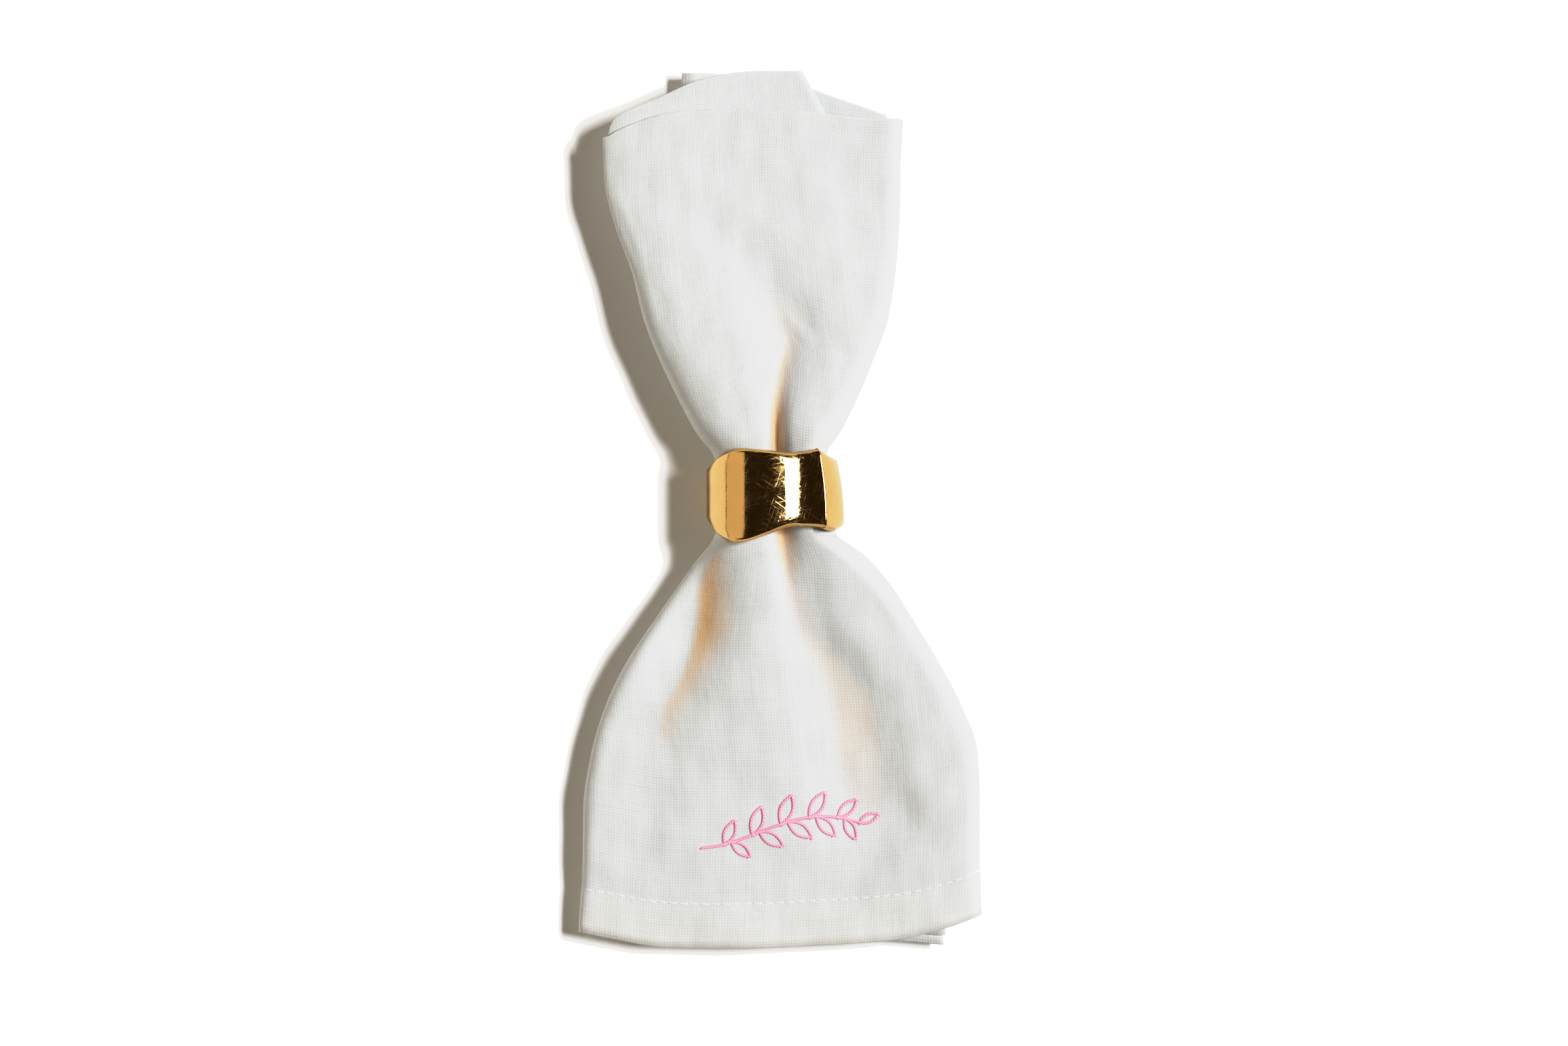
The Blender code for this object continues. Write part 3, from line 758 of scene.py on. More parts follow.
@dataclass(frozen=True)
class MattPaper:
    """White background paper, pressed and matt. The eye sees an even white with a faint tooth."""

    colour: str = "#FCFCFB"
    roughness: float = 0.95
    tooth_size: float = 2.0
    tooth_height: float = 0.02

    def material(self) -> bpy.types.Material:
        """Makes the floor's material."""
        material, tree, shader = new_material("matt white background paper")
        place = add_node(tree, "ShaderNodeTexCoord").outputs["Object"]
        noise = add_node(tree, "ShaderNodeTexNoise", None,
                         {"Scale": 1 / (self.tooth_size * MM), "Detail": 2.0}, {"Vector": place})
        bump = add_node(tree, "ShaderNodeBump", None, {"Strength": 0.3, "Distance": self.tooth_height * MM},
                        {"Height": noise.outputs[0]})
        tree.links.new(bump.outputs[0], shader.inputs["Normal"])
        shader.inputs["Base Color"].default_value = linear_colour(self.colour)
        shader.inputs["Roughness"].default_value = self.roughness
        shader.inputs["Specular IOR Level"].default_value = 0.0
        return material


@dataclass
class FoldedPath:
    """The path of the folded panels across the napkin, worked out section by section."""

    panel_thickness: float = 1.05
    front_spacing: float = 2.2
    panel_spacing: float = 1.45
    left_fold_reach: float = 2.15
    fold_pull: float = 0.6
    outer_fold_spread: float = 1.25
    kink_length: float = 0.5
    kink_step: float = 0.2
    bend_length: float = 4.0
    fine_steps: int = 400
    middle_share_at_fold: float = 0.92
    middle_share_inside: float = 0.62
    middle_share_reach: float = 40.0
    inner_share: float = 0.55
    tuck_share: float = 0.45
    gather_calm: float = 7.0
    # Where the painted fold shade fades out across the left valley.
    shade_start: float = 5.0
    shade_end: float = -2.0
    curl_height: float = 4.6
    curl_x: tuple[float, float] = (-4.0, -32.0)
    curl_y: tuple[float, float] = (92.0, 127.0)
    bottom_steps: int = 12
    outer_fold_steps: int = 9
    front_steps: int = 104
    left_fold_steps: int = 9
    middle_steps: int = 46
    inner_fold_steps: int = 8
    inner_steps: int = 38
    tuck_fold_steps: int = 7
    tuck_steps: int = 28

    def stretches(self) -> list[tuple[Panel, int]]:
        """The panel that each stretch of the section belongs to, and its steps."""
        return [
            (Panel.BOTTOM, self.bottom_steps),
            (Panel.FRONT, self.outer_fold_steps),
            (Panel.FRONT, self.front_steps),
            (Panel.MIDDLE, self.left_fold_steps),
            (Panel.MIDDLE, self.middle_steps),
            (Panel.INNER, self.inner_fold_steps),
            (Panel.INNER, self.inner_steps),
            (Panel.INNER, self.tuck_fold_steps),
            (Panel.INNER, self.tuck_steps),
        ]

    def front_middle(self) -> int:
        """The point of a section in the middle of the front panel."""
        return self.bottom_steps + self.outer_fold_steps + self.front_steps // 2

    def panel_of_points(self) -> list[Panel]:
        """The panel of each point of a section, from the lowest panel's free edge inwards."""
        return [Panel.BOTTOM] + [panel for panel, steps in self.stretches() for _ in range(steps)]

    def front_height(self, x: Array, y: float) -> Array:
        """Height of the front panel's centre line.

        Args:
            x: Places across the panel.
            y: The section's place.

        Returns:
            The height at each place.
        """
        front = row_at(FRONT, y)
        along = (x - front.left) / (front.right - front.left)
        top = front.top_left + (front.top_right - front.top_left) * along - self.fold_depth(x, y)
        from_left = np.clip((x - front.left) / front.left_round, 0.0, 1.0)
        from_right = np.clip((front.right - x) / front.right_round, 0.0, 1.0)
        left_share = np.sqrt(1 - (1 - from_left) ** 2)
        right_share = np.sqrt(1 - (1 - from_right) ** 2)
        height = front.left_z + (top - front.left_z) * left_share
        return front.right_z + (height - front.right_z) * right_share

    def fold_depth(self, x: Array, y: float) -> Array:
        """How deep the folds are in the front panel.

        Args:
            x: Places across the panel.
            y: The section's place.

        Returns:
            The depth at each place.
        """
        depth = np.zeros_like(x)
        for fold, left_power, right_power in FOLDS:
            row = row_at(fold, y)
            spread = np.where(x < row.x, row.left_width, row.right_width)
            power = np.where(x < row.x, left_power, right_power)
            depth += row.depth * np.exp(-np.abs((x - row.x) / spread) ** power)
        return depth

    def painted_shade_depth(self, x: Array, y: float) -> Array:
        """How deep the folds are where warm shade is painted into the linen, fading out across the left valley,
        at each place across the panel at y.
        """
        line = row_at(LEFT_VALLEY, y).x
        left_side = ease(x, line + self.shade_start, line + self.shade_end)
        return self.fold_depth(x, y) * (1 - left_side)

    def gathers(self, x: Array, y: float, left: float, right: float) -> Array:
        """The fine gathers that the ring draws into the hidden panels.

        Args:
            x: Places across the panel.
            y: The section's place.
            left: Where the gathers end on the left.
            right: Where they end on the right.

        Returns:
            The height that the gathers add at each place.
        """
        row = row_at(GATHERS, y)
        calm = ease(x, left, left + self.gather_calm) * ease(x, right, right - self.gather_calm)
        return row.height * calm * np.sin(2 * math.pi * x / row.spacing)

    def section_stretches(self, y: float) -> list[Array]:
        """The folded section's stretches.

        Args:
            y: The section's place.

        Returns:
            Polylines of (x, z), from the lowest panel's free edge inwards.
        """
        front = row_at(FRONT, y)
        under = row_at(UNDER, y)
        x = np.linspace(front.left, front.right, self.fine_steps)
        curl = self.curl_height * ease(x, *self.curl_x) * ease(y, *self.curl_y)
        bottom_z = under.floor + self.panel_thickness / 2 + curl
        inside = (x > front.left + front.left_round) & (x < front.right - front.right_round)
        lowest = np.where(inside, bottom_z + 3 * self.front_spacing, min(front.left_z, front.right_z))
        front_z = np.maximum(self.front_height(x, y), lowest)
        gathers = self.gathers(x, y, front.left, under.inner_fold)
        middle_base = bottom_z + 3 * self.panel_spacing
        share = self.middle_share_at_fold + (self.middle_share_inside - self.middle_share_at_fold) * ease(
            x, front.left, front.left + self.middle_share_reach)
        room = kept_below(x, front_z, self.panel_spacing)
        middle_z = np.minimum(room, middle_base + share * (room - middle_base) + gathers)
        middle_z = np.minimum(room, np.maximum(middle_z, middle_base))
        inner_base = bottom_z + 2 * self.panel_spacing
        room = kept_below(x, middle_z, self.panel_spacing)
        inner_z = np.minimum(room, inner_base + self.inner_share * (room - inner_base) + gathers)
        inner_z = np.minimum(room, np.maximum(inner_z, inner_base))
        tuck_base = bottom_z + self.panel_spacing
        room = kept_below(x, inner_z, self.panel_spacing)
        tuck_z = np.minimum(room, tuck_base + self.tuck_share * (room - tuck_base) + gathers)
        tuck_z = np.minimum(room, np.maximum(tuck_z, tuck_base))

        def stretch(heights: Array, start: float, end: float) -> Array:
            """Reads the heights from start to end as a polyline."""
            places = np.linspace(start, end, self.fine_steps)
            return np.column_stack([places, np.interp(places, x, heights)])

        foot = front.right - self.outer_fold_spread * (front.right_z - under.floor)
        bottom = stretch(bottom_z, under.bottom_free, foot)
        panel = np.column_stack([x, front_z])[::-1]
        reach, rise = self.fold_pull * (panel[0] - bottom[-1])
        outer_fold = bend(bottom[-1], bottom[-1] + [reach, 0], panel[0] - [0, rise], panel[0])
        middle = stretch(middle_z, front.left + self.left_fold_reach, under.inner_fold)
        heading = middle[2] - middle[0]
        pull = self.fold_pull * self.left_fold_reach
        left_fold = bend(panel[-1], panel[-1] - [0, pull],
                         middle[0] - pull * heading / np.linalg.norm(heading), middle[0])
        inner = stretch(inner_z, under.inner_fold, under.inner_left)
        reach = self.fold_pull * (middle[-1, 1] - inner[0, 1])
        inner_fold = bend(middle[-1], middle[-1] + [reach, 0], inner[0] + [reach, 0], inner[0])
        tuck = stretch(tuck_z, under.inner_left, under.tuck_free)
        reach = self.fold_pull * (inner[-1, 1] - tuck[0, 1])
        tuck_fold = bend(inner[-1], inner[-1] - [reach, 0], tuck[0] - [reach, 0], tuck[0])
        return [bottom, outer_fold, panel, left_fold, middle, inner_fold, inner, tuck_fold, tuck]

    def softened(self, stretches: list[Array]) -> list[Array]:
        """Rounds off every kink of one line.

        Args:
            stretches: The line's stretches, each one starting where the last one ends.

        Returns:
            The same stretches of the rounded line.
        """
        fine = []
        for points in stretches:
            length = np.linalg.norm(np.diff(points, axis=0), axis=1).sum()
            fine.append(resampled(points, max(int(length / self.kink_step), 2)))
        whole = np.concatenate([fine[0]] + [part[1:] for part in fine[1:]])
        weights = bell_weights(self.kink_length, self.kink_step)
        reach = len(weights) // 2
        before = 2 * whole[0] - whole[reach:0:-1]
        after = 2 * whole[-1] - whole[-2:-reach - 2:-1]
        padded = np.concatenate([before, whole, after])
        soft = np.column_stack([np.convolve(padded[:, k], weights, "valid") for k in (0, 1)])
        ends = np.cumsum([0] + [len(part) - 1 for part in fine])
        return [soft[start:end + 1] for start, end in zip(ends[:-1], ends[1:])]

    def section(self, y: float) -> Array:
        """The whole folded section.

        Args:
            y: The section's place.

        Returns:
            One polyline of (x, z), from the lowest panel's free edge inwards.
        """
        parts = [resampled(points, steps, self.bend_length)
                 for points, (_, steps) in zip(self.softened(self.section_stretches(y)), self.stretches())]
        return np.concatenate([parts[0]] + [part[1:] for part in parts[1:]])

    def end_slant(self, ends: dict[Panel, list[Edge]], line: Array, nominal: float) -> Array:
        """How far each point of the end section lies past the nominal end.

        Args:
            ends: The shape of each panel's end.
            line: The end section's points.
            nominal: The y at which the section was worked out.

        Returns:
            The distance past the nominal end for each point.
        """
        slants = []
        for panel, x in zip(self.panel_of_points(), line[:, 0]):
            places = [edge.x for edge in ends[panel]]
            reached = curve_through(places, [edge.y for edge in ends[panel]], x)
            slants.append(float(reached) - nominal)
        return np.array(slants)


@dataclass
class Napkin:
    """The square linen napkin: one sheet, folded in half and then across into four doubled panels."""

    path: FoldedPath
    flat_side: float = 0.56
    sheet_thickness: float = 0.36
    hem_thickness: float = 0.62
    layer_offset: float = 0.3
    hem_layer_offset: float = 0.42
    hem_width: float = 15.0
    hem_ease: float = 1.2
    stitch_dip: float = 0.16
    dip_width: float = 1.1
    clearance: float = 0.12
    front_blend: float = 2.0
    relief_reach: tuple[float, float] = (13.0, 26.0)
    hem_y: float = -136.0
    fold_y: float = 127.0
    ring_y: float = 5.0
    outer_stations: int = 112
    bunching: float = 0.9
    inner_stride: int = 2
    end_turn_steps: int = 5
    end_calm: float = 30.0
    piece: bpy.types.Object | None = None
    tree: BVHTree | None = None
    outer: Array | None = None
    normals: Array | None = None
    from_hem: Array | None = None

    def stations(self) -> Array:
        """Places along the napkin, closest together at the ring."""
        steps = np.linspace(-1.0, 1.0, self.outer_stations)
        spread = np.sinh(self.bunching * steps) / math.sinh(self.bunching)
        reach = np.where(spread < 0, self.ring_y - self.hem_y, self.fold_y - self.ring_y)
        return self.ring_y + spread * reach

    def relief(self, x: Array, y: Array) -> Array:
        """The creases and slow unevenness of the front panel.

        Args:
            x: Places across the panel.
            y: Places along it.

        Returns:
            The height that they add at each place.
        """
        total = np.zeros_like(x)
        for wave in RIPPLES:
            turn = math.radians(wave.direction)
            place = x * math.cos(turn) + y * math.sin(turn)
            total += wave.height * np.sin(2 * math.pi * place / wave.length + wave.phase)
        for crease in CREASES:
            start = np.array([crease.start_x, crease.start_y])
            run = np.array([crease.end_x, crease.end_y]) - start
            length = float(np.linalg.norm(run))
            along = ((x - start[0]) * run[0] + (y - start[1]) * run[1]) / length
            across = ((x - start[0]) * run[1] - (y - start[1]) * run[0]) / length
            past = np.maximum(np.maximum(-along, along - length), 0.0)
            reach = crease.width * 2
            total += crease.height * np.exp(-(across / crease.width) ** 2 - (past / reach) ** 2)
        return total

    def hem_share(self, from_edge: Array) -> Array:
        """1 in the hem and 0 past it, for distances from the cloth's edge."""
        return 1 - ease(from_edge, self.hem_width - self.hem_ease, self.hem_width)

    def build(self) -> bpy.types.Object:
        """Builds the sheet on its folds.

        Returns:
            The napkin's object.
        """
        path = self.path
        stations = self.stations()
        lines = np.stack([path.section(float(y)) for y in stations])
        hem_slant = path.end_slant(HEM_ENDS, lines[0], self.hem_y)
        fold_slant = path.end_slant(FOLD_ENDS, lines[-1], self.fold_y)
        slant = (ease(stations, self.ring_y - self.end_calm, self.hem_y)[:, None] * hem_slant
                 + ease(stations, self.ring_y + self.end_calm, self.fold_y)[:, None] * fold_slant)
        headings = np.gradient(lines, axis=1)
        headings /= np.linalg.norm(headings, axis=2, keepdims=True)
        normals = np.stack([headings[:, :, 1], np.zeros(lines.shape[:2]), -headings[:, :, 0]], axis=2)
        centres = np.stack([lines[:, :, 0], stations[:, None] + slant, lines[:, :, 1]], axis=2)
        on_front = np.array([panel is Panel.FRONT for panel in path.panel_of_points()], float)
        blend = bell_weights(self.front_blend, 1.0)
        on_front = np.convolve(np.pad(on_front, len(blend) // 2, mode="edge"), blend, "valid")
        near_ring = np.abs(stations - self.ring_y)[:, None]
        calm = ease(near_ring, *self.relief_reach) * np.maximum(normals[:, :, 2], 0.0)
        relief = self.relief(centres[:, :, 0], centres[:, :, 1])
        centres += (on_front * calm * relief)[:, :, None] * normals

        steps_along = np.linalg.norm(np.diff(centres, axis=0), axis=2)
        from_hem = np.concatenate([np.zeros((1, lines.shape[1])), np.cumsum(steps_along, axis=0)])
        steps_across = np.linalg.norm(np.diff(lines, axis=1), axis=2)
        from_side = np.concatenate([np.zeros((len(stations), 1)), np.cumsum(steps_across, axis=1)], axis=1)
        to_side = from_side[:, -1:] - from_side
        hem = np.maximum.reduce([self.hem_share(place) for place in (from_hem, from_side, to_side)])
        offset = self.layer_offset + (self.hem_layer_offset - self.layer_offset) * hem
        dip = self.stitch_dip * np.exp(-((from_hem - self.hem_width + self.hem_ease / 2) / self.dip_width) ** 2)

        middle = path.front_middle()
        across = from_side - from_side[:, middle:middle + 1]
        outer = centres + (offset - dip)[:, :, None] * normals
        inner = centres - offset[:, :, None] * normals
        turn = []
        for angle in np.linspace(90, -90, self.end_turn_steps + 2)[1:-1]:
            past = offset[-1] * math.cos(math.radians(angle))
            rise = offset[-1] * math.sin(math.radians(angle))
            shift = np.column_stack([np.zeros_like(past), past, np.zeros_like(past)])
            turn.append(centres[-1] + shift + rise[:, None] * normals[-1])
        back = np.arange(len(stations) - 1, -1, -self.inner_stride)
        rows = np.concatenate([outer, np.stack(turn), inner[back]])
        shares = np.concatenate([hem, np.repeat(hem[-1:], len(turn), axis=0), hem[back]])
        thickness = self.sheet_thickness + (self.hem_thickness - self.sheet_thickness) * shares
        rows[:, :, 2] = np.maximum(rows[:, :, 2], thickness / 2 + self.clearance)
        length = np.concatenate([from_hem, np.repeat(from_hem[-1:], len(turn), axis=0),
                                 2 * from_hem[-1:] - from_hem[back]])
        width = np.concatenate([across, np.repeat(across[-1:], len(turn), axis=0), across[back]])
        uv = np.stack([width, length], axis=2) * MM

        piece = grid_object("linen_napkin", rows, False, False, uv)
        group = piece.vertex_groups.new(name="hem")
        for share in np.unique(np.round(shares, 2)):
            picked = np.flatnonzero(np.round(shares, 2).ravel() == share).tolist()
            group.add(picked, float(share), "REPLACE")
        # Painted shade: the fold depth of each point, stored as fold_depth, tints the linen warm brown in the
        # folds.
        depth = np.stack([path.painted_shade_depth(line[:, 0], float(y)) for line, y in zip(lines, stations)])
        depth *= on_front
        painted_shade_depths = np.concatenate([depth, np.repeat(depth[-1:], len(turn), axis=0), depth[back]])
        layer = piece.data.attributes.new("fold_depth", "FLOAT", "POINT")
        layer.data.foreach_set("value", painted_shade_depths.astype(np.float32).ravel())
        solid = piece.modifiers.new("Sheet", "SOLIDIFY")
        solid.thickness = self.hem_thickness * MM
        solid.offset = 0.0
        solid.vertex_group = group.name
        solid.thickness_vertex_group = self.sheet_thickness / self.hem_thickness
        piece.data.materials.append(BleachedLinen().material())
        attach(piece, BODY)
        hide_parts("napkin")
        self.piece = piece
        self.outer = outer
        self.normals = normals
        self.from_hem = from_hem
        return piece

    def surface(self) -> BVHTree:
        """The finished sheet's surface, for placing what is sewn on it."""
        if self.tree is None:
            bpy.context.view_layer.update()
            self.tree = BVHTree.FromObject(self.piece, bpy.context.evaluated_depsgraph_get())
        return self.tree

    def on_top(self, x: float, y: float) -> tuple[Array, Array]:
        """Finds the sheet's upper face from above.

        Args:
            x: The place across the napkin.
            y: The place along it.

        Returns:
            The point and the direction that the face looks in, the point in millimetres.
        """
        point, normal, _, _ = self.surface().ray_cast(Vector((x * MM, y * MM, 0.1)), Vector((0, 0, -1)))
        return np.array(point) / MM, np.array(normal)

    def hem_line(self) -> tuple[Array, Array]:
        """The line of the hem's stitches on the outer layer.

        Returns:
            Points on the sheet's outer face in millimetres, and the directions that the face looks in.
        """
        wanted = self.hem_width - self.hem_ease / 2
        points, facing = [], []
        for k in range(self.outer.shape[1]):
            column, places = self.outer[:, k], self.from_hem[:, k]
            point = [np.interp(wanted, places, column[:, axis]) for axis in range(3)]
            normal = [np.interp(wanted, places, self.normals[:, k, axis]) for axis in range(3)]
            points.append(np.array(point) + np.array(normal) * self.sheet_thickness / 2)
            facing.append(normal)
        return np.array(points), np.array(facing)


@dataclass
class Stitching:
    """Many short stitches of one thread, made as one mesh."""

    name: str
    finish: TwistedThread
    radius: float
    rise: float
    sides: int = 6
    rings: int = 6

    def build(self, starts: Array, ends: Array, facing: Array) -> bpy.types.Object:
        """Builds the stitches.

        Args:
            starts: Where each stitch comes out of the cloth, in millimetres.
            ends: Where each one goes in.
            facing: The direction that the cloth looks in at each stitch.

        Returns:
            The joined stitches as one object.
        """
        points, faces, flat = [], [], []
        share = np.linspace(0.0, 1.0, self.rings)
        for start, end, normal in zip(starts, ends, facing):
            run = end - start
            length = float(np.linalg.norm(run))
            heading = run / length
            side = np.cross(heading, normal)
            side /= np.linalg.norm(side)
            up = np.cross(side, heading)
            base = len(points)
            for t in share:
                girth = self.radius * max(math.sin(math.pi * (0.06 + 0.88 * t)), 0.1) ** 0.45
                middle = start + run * t + up * self.rise * math.sin(math.pi * t)
                for k in range(self.sides):
                    angle = 2 * math.pi * k / self.sides
                    points.append(middle + girth * (side * math.cos(angle) + up * math.sin(angle)))
                    flat.append((t * length * MM, 2 * math.pi * self.radius * k / self.sides * MM))
            for ring in range(self.rings - 1):
                for k in range(self.sides):
                    a, b = base + ring * self.sides + k, base + ring * self.sides + (k + 1) % self.sides
                    faces.append((a, b, b + self.sides, a + self.sides))
            last = base + (self.rings - 1) * self.sides
            faces.append(tuple(base + k for k in reversed(range(self.sides))))
            faces.append(tuple(last + k for k in range(self.sides)))
        mesh = bpy.data.meshes.new(self.name)
        mesh.from_pydata((np.array(points) * MM).tolist(), [], faces)
        layer = mesh.uv_layers.new(name="flat")
        for loop in mesh.loops:
            layer.data[loop.index].uv = flat[loop.vertex_index]
        mesh.shade_smooth()
        mesh.update()
        piece = bpy.data.objects.new(self.name, mesh)
        bpy.context.scene.collection.objects.link(piece)
        piece.data.materials.append(self.finish.material())
        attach(piece, BODY)
        return piece


@dataclass
class HemStitches:
    """The straight machine stitches that hold the hem."""

    napkin: Napkin
    pitch: float = 3.4
    stitch: float = 2.7
    lift: float = 0.06
    least_z: float = 0.4

    def build(self) -> bpy.types.Object:
        """Sews the stitches along the hem line.

        Returns:
            The stitches as one object.
        """
        points, facing = self.napkin.hem_line()
        places = np.concatenate([[0.0], np.cumsum(np.linalg.norm(np.diff(points, axis=0), axis=1))])
        count = int((places[-1] - 2 * self.pitch) / self.pitch)
        starts = self.pitch * (1 + np.arange(count))

        def read(values: Array, at: Array) -> Array:
            """Reads the line's values at these lengths along it."""
            return np.column_stack([np.interp(at, places, values[:, axis]) for axis in range(3)])

        thread = TwistedThread("white cotton sewing thread", "#F2F4FB", "#D4DAEA")
        stitching = Stitching("hem_stitches", thread, radius=0.2, rise=0.1)
        first = read(points, starts) + self.lift * read(facing, starts)
        last = read(points, starts + self.stitch) + self.lift * read(facing, starts + self.stitch)
        for tips in (first, last):
            tips[:, 2] = np.maximum(tips[:, 2], self.least_z)
        return stitching.build(first, last, read(facing, starts + self.stitch / 2))


@dataclass
class Sprig:
    """A small leafy sprig in pink stem stitch, on the front panel above the hem."""

    napkin: Napkin
    centre_x: float = 0.2
    centre_y: float = -101.5
    length: float = 50.0
    rise: float = 5.0
    leaf_pairs: int = 5
    leaf_length: float = 9.0
    leaf_width: float = 3.6
    leaf_angle: float = 52.0
    stitch: float = 1.7
    step: float = 0.95
    slant: float = 0.34

    def stem(self, t: Any) -> Array:
        """Points along the stem.

        Args:
            t: Shares of its length, from 0 at the left to 1 at the tip.

        Returns:
            The stem's (x, y) at each share.
        """
        t = np.asarray(t, float)
        x = self.centre_x + self.length * (t - 0.5)
        y = self.centre_y + self.rise * np.sin(math.pi * (1.25 * t - 0.45)) - 1.0
        return np.stack([x, y], axis=-1)

    def leaf(self, base: Array, angle: float, length: float) -> Array:
        """A pointed leaf's outline.

        Args:
            base: Where the leaf leaves the stem.
            angle: The leaf's direction in degrees.
            length: Its length.

        Returns:
            Points round the outline, from the base and back.
        """
        t = np.concatenate([np.linspace(0, 1, 16), np.linspace(1, 0, 16)[1:]])
        side = np.concatenate([np.ones(16), -np.ones(15)])
        bow = side * self.leaf_width / 2 * (length / self.leaf_length) * np.sin(math.pi * t) ** 0.85
        turn = math.radians(angle)
        along = np.column_stack([np.cos(turn) * length * t, np.sin(turn) * length * t])
        across = np.column_stack([-np.sin(turn) * bow, np.cos(turn) * bow])
        return base + along + across

    def lines(self) -> list[Array]:
        """All the lines of the sprig, as polylines of (x, y)."""
        lines = [self.stem(np.linspace(0, 1, 60))]
        for k in range(self.leaf_pairs):
            t = 0.14 + 0.72 * k / (self.leaf_pairs - 1)
            ahead, here = self.stem(t + 0.02), self.stem(t)
            heading = math.degrees(math.atan2(ahead[1] - here[1], ahead[0] - here[0]))
            size = self.leaf_length * (0.78 + 0.3 * math.sin(math.pi * t))
            lines.append(self.leaf(here, heading + self.leaf_angle, size))
            lines.append(self.leaf(self.stem(t + 0.045), heading - self.leaf_angle, size * 0.92))
        tip = self.stem(1.0)
        lines.append(self.leaf(tip, 24.0, self.leaf_length * 0.72))
        return lines

    def build(self) -> bpy.types.Object:
        """Embroiders the sprig.

        Returns:
            The stitches as one object.
        """
        starts, ends, facing = [], [], []
        for line in self.lines():
            length = float(np.linalg.norm(np.diff(line, axis=0), axis=1).sum())
            spots = resampled(line, max(int(length / self.step), 2))
            headings = np.gradient(spots, axis=0)
            headings /= np.linalg.norm(headings, axis=1)[:, None]
            for spot, heading in zip(spots, headings):
                across = np.array([-heading[1], heading[0]])
                first = spot - heading * self.stitch / 2 - across * self.slant
                last = spot + heading * self.stitch / 2 + across * self.slant
                start, normal = self.napkin.on_top(*first)
                end, _ = self.napkin.on_top(*last)
                starts.append(start)
                ends.append(end)
                facing.append(normal)
        thread = TwistedThread("pink mercerised embroidery thread", "#F8B2CB", "#EA86A8")
        stitching = Stitching("embroidered_sprig", thread, radius=0.4, rise=0.2)
        return stitching.build(np.array(starts), np.array(ends), np.array(facing))


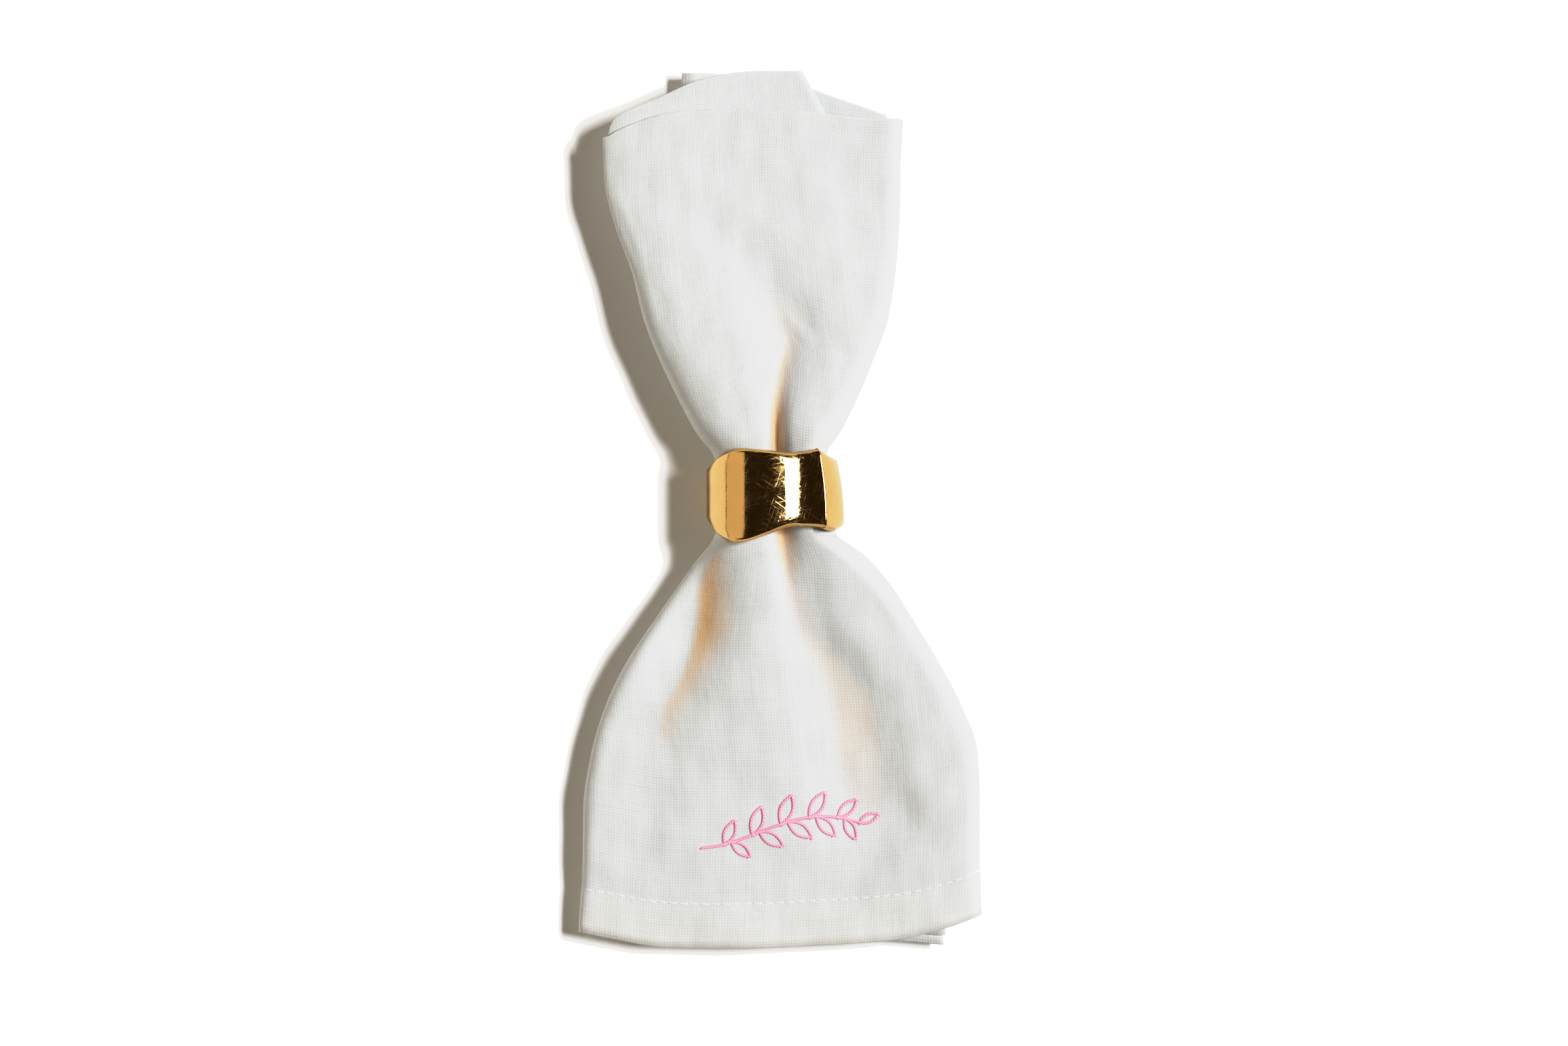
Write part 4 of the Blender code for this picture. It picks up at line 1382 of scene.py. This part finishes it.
@dataclass
class NapkinRing:
    """The ring: one wavy band, cast in brass, its rims rounded, polished and gold-plated."""

    wall: float = 2.2
    # The rims are chamfered outside and rounded inside; a power of 1 is a straight chamfer, 2 is round.
    chamfer_width: float = 1.35
    chamfer_depth: float = 1.5
    chamfer_power: float = 1.2
    inner_radius: float = 0.6
    rim_steps: int = 9
    face_steps: int = 10
    steps: int = 340
    fine_step: float = 0.1
    softness: float = 0.12
    taper: float = 0.0056
    taper_start: float = -4.0
    half_width: float = 20.3

    def loop(self) -> Array:
        """The ring's outer face as an even loop.

        Returns:
            Rows of (x, z, hem_rim, fold_rim).
        """
        knots = np.array(BAND)
        fine = []
        for k in range(len(knots)):
            before, start, end, after = (knots[(k + step) % len(knots)] for step in (-1, 0, 1, 2))
            for t in np.linspace(0.0, 1.0, 24, endpoint=False):
                fine.append(0.5 * (2 * start + (end - before) * t
                                   + (2 * before - 5 * start + 4 * end - after) * t**2
                                   + (3 * start - before - 3 * end + after) * t**3))
        line = np.array(fine + fine[:1])
        line[:, 1] = np.maximum(line[:, 1], 0.0)
        length = np.linalg.norm(np.diff(line[:, :2], axis=0), axis=1).sum()
        even = resampled(line, int(length / self.fine_step))[:-1]
        weights = bell_weights(self.softness, self.fine_step)
        reach = len(weights) // 2
        around = np.concatenate([even[-reach:], even, even[:reach]])
        soft = np.column_stack([np.convolve(around[:, k], weights, "valid") for k in range(4)])
        return resampled(np.concatenate([soft, soft[:1]]), self.steps)[:-1]

    def corner(self, rim: float, end: int, outer: bool) -> list[tuple[float, float]]:
        """One corner of the band's wall, from its face to its rim.

        Args:
            rim: Where the rim lies along the napkin.
            end: 1 at the rim towards the fold and -1 at the rim towards the hem.
            outer: Whether it is the outer face's corner.

        Returns:
            Depths under the outer face and places along the napkin.
        """
        width, depth, power = self.inner_radius, self.inner_radius, 2.0
        if outer:
            width, depth, power = self.chamfer_width, self.chamfer_depth, self.chamfer_power
        points = []
        for step in range(self.rim_steps + 1):
            turn = math.radians(90 * step / self.rim_steps)
            inwards = depth * (1 - max(math.cos(turn), 0.0) ** (2 / power))
            short = width * (1 - math.sin(turn) ** (2 / power))
            points.append((inwards if outer else self.wall - inwards, rim - end * short))
        return points

    def face(self, depth: float, start: float, end: float) -> list[tuple[float, float]]:
        """Evenly spaced points on one face of the wall, without its two ends."""
        return [(depth, float(y)) for y in np.linspace(start, end, self.face_steps + 1)[1:-1]]

    def build(self) -> bpy.types.Object:
        """Builds the band.

        Returns:
            The ring's object.
        """
        loop = self.loop()
        along = np.roll(loop, -1, axis=0)[:, :2] - np.roll(loop, 1, axis=0)[:, :2]
        inward = np.column_stack([-along[:, 1], along[:, 0]]) / np.linalg.norm(along, axis=1)[:, None]
        lengths = np.linalg.norm(np.roll(loop, -1, axis=0)[:, :2] - loop[:, :2], axis=1)
        around = np.concatenate([[0.0], np.cumsum(lengths)])
        rows, flat = [], []
        for (x, z, hem_rim, fold_rim), (in_x, in_z) in zip(loop, inward):
            hem_outer, fold_outer = self.corner(hem_rim, -1, True), self.corner(fold_rim, 1, True)
            hem_inner, fold_inner = self.corner(hem_rim, -1, False), self.corner(fold_rim, 1, False)
            top = self.face(0.0, hem_outer[0][1], fold_outer[0][1])
            underneath = self.face(self.wall, fold_inner[0][1], hem_inner[0][1])
            profile = hem_outer[::-1] + top + fold_outer + fold_inner[::-1] + underneath + hem_inner
            row = []
            for depth, y in profile:
                past = max(y - self.taper_start, 0.0)
                taper = self.taper * past**2 * max(x, 0.0) / self.half_width
                row.append((x + depth * in_x - taper, y, z + depth * in_z))
            rows.append(row)
            flat.append([(y + depth) * MM for depth, y in profile])
        rows = np.array(rows)
        flat = np.array(flat)
        flat = np.concatenate([flat, flat[:1]])
        flat = np.concatenate([flat, flat[:, :1]], axis=1)
        uv = np.stack([np.repeat(around[:, None] * MM, flat.shape[1], axis=1), flat], axis=2)
        piece = grid_object("gold_ring", rows, True, True, uv)
        piece.data.materials.append(GoldPlatedBrass().material())
        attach(piece, BODY)
        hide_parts("napkin_ring")
        return piece


@dataclass(frozen=True)
class SoftLight:
    """A soft rectangular studio light."""

    name: str
    place: tuple[float, float, float]
    target: tuple[float, float, float]
    width: float
    height: float
    radiance: float
    colour: str

    def build(self) -> bpy.types.Object:
        """Builds the light, turned towards its target.

        Returns:
            The light's object.
        """
        data = bpy.data.lights.new(self.name, "AREA")
        data.shape = "RECTANGLE"
        data.size = self.width
        data.size_y = self.height
        data.energy = self.radiance * math.pi * self.width * self.height
        data.color = linear_colour(self.colour)[:3]
        light = bpy.data.objects.new(self.name, data)
        light.location = self.place
        light.rotation_euler = (Vector(self.target) - Vector(self.place)).to_track_quat("-Z", "Y").to_euler()
        light.visible_camera = False
        bpy.context.scene.collection.objects.link(light)
        return light


@dataclass
class Studio:
    """The pale floor, the soft lights and the camera straight above."""

    frame_width: float = 0.5002
    frame_x: float = 0.00106
    frame_y: float = -0.00404
    focus_z: float = 0.008
    camera_z: float = 1.39
    sensor_width: float = 36.0
    floor_side: float = 10.0
    floor_drop: float = 0.0001
    key_direction: tuple[float, float, float] = (0.655, 0.144, 0.743)
    key_distance: float = 8.0
    key_width: float = 2.6
    key_height: float = 1.0
    key_radiance: float = 105.0
    card_distance: float = 0.7
    card_height: float = 1.2
    card_width: float = 1.6
    card_radiance: float = 0.84
    card_colour: str = "#FFF4DE"
    world_colour: str = "#FFD9A0"
    world_strength: float = 0.03
    sill_height: float = 0.03
    sill_shade: float = 0.01
    sill_roughness: float = 0.9
    # The picture's tones: mid-tones lift a little and the cloth's whites roll off before the paper's.
    tones: tuple[tuple[float, float], ...] = ((0.2, 0.19), (0.36, 0.385), (0.54, 0.63), (0.64, 0.755),
                                              (0.71, 0.82), (0.82, 0.85), (0.95, 0.885), (1.0, 1.0))

    def floor(self) -> None:
        """Lays the floor just under the napkin."""
        half = self.floor_side / 2
        corners = [(-half, -half), (half, -half), (half, half), (-half, half)]
        mesh = bpy.data.meshes.new("floor")
        mesh.from_pydata([(x, y, -self.floor_drop) for x, y in corners], [], [(0, 1, 2, 3)])
        floor = bpy.data.objects.new("floor", mesh)
        floor.data.materials.append(MattPaper().material())
        bpy.context.scene.collection.objects.link(floor)

    def foot(self) -> None:
        """Stands the bounce card on a dark foot, which the ring shows as a thin dark line."""
        half = self.card_width / 2
        corners = [(-half, 0.0), (half, 0.0), (half, self.sill_height), (-half, self.sill_height)]
        mesh = bpy.data.meshes.new("card_foot")
        mesh.from_pydata([(-self.card_distance, y, z) for y, z in corners], [], [(0, 1, 2, 3)])
        foot = bpy.data.objects.new("card_foot", mesh)
        material, _, shader = new_material("matt black card")
        shader.inputs["Base Color"].default_value = (self.sill_shade, self.sill_shade, self.sill_shade, 1.0)
        shader.inputs["Roughness"].default_value = self.sill_roughness
        foot.data.materials.append(material)
        foot.visible_camera = False
        bpy.context.scene.collection.objects.link(foot)

    def lights(self) -> None:
        """Sets the key light on the right and the bounce card on the left."""
        towards = Vector(self.key_direction).normalized()
        key = SoftLight("key_light", tuple(towards * self.key_distance), (0, 0, 0), self.key_width,
                        self.key_height, self.key_radiance, "#FFFFFF")
        key.build()
        card = SoftLight("bounce_card", (-self.card_distance, 0, self.card_height / 2 + self.sill_height),
                         (0, 0, self.card_height / 2 + self.sill_height), self.card_width,
                         self.card_height, self.card_radiance, self.card_colour)
        card.build()
        world = bpy.data.worlds.new("studio")
        world.use_nodes = True
        background = world.node_tree.nodes["Background"]
        background.inputs["Color"].default_value = linear_colour(self.world_colour)
        background.inputs["Strength"].default_value = self.world_strength
        bpy.context.scene.world = world

    def camera(self) -> None:
        """Places the camera straight above, so that the frame is as wide as the photograph's."""
        data = bpy.data.cameras.new("camera")
        data.sensor_width = self.sensor_width
        data.lens = self.sensor_width * (self.camera_z - self.focus_z) / self.frame_width
        data.clip_end = 100.0
        camera = bpy.data.objects.new("camera", data)
        camera.location = (self.frame_x, self.frame_y, self.camera_z)
        bpy.context.scene.collection.objects.link(camera)
        bpy.context.scene.camera = camera
        settings = bpy.context.scene.view_settings
        settings.view_transform = "Standard"
        settings.use_curve_mapping = True
        curve = settings.curve_mapping.curves[3]
        settings.curve_mapping.extend = "HORIZONTAL"
        for tone, shown in self.tones:
            curve.points.new(tone, shown)
        for point in curve.points[-2:]:
            point.handle_type = "VECTOR"
        settings.curve_mapping.update()
        LOG.info("camera frame %d x %d", IMAGE_WIDTH, IMAGE_HEIGHT)

    def build(self) -> None:
        """Builds the floor, the lights and the camera."""
        self.floor()
        self.foot()
        self.lights()
        self.camera()


def main() -> None:
    """Builds every piece in order and reports it."""
    logging.basicConfig(level=logging.INFO, format="%(name)s: %(message)s")
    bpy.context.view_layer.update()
    Studio().build()
    LOG.info("studio ready")
    napkin = Napkin(FoldedPath())
    sheet = napkin.build()
    LOG.info("%s has %d points", sheet.name, len(sheet.data.vertices))
    for part in (HemStitches(napkin), Sprig(napkin), NapkinRing()):
        piece = part.build()
        LOG.info("%s has %d points", piece.name, len(piece.data.vertices))


if __name__ == "__main__":
    main()
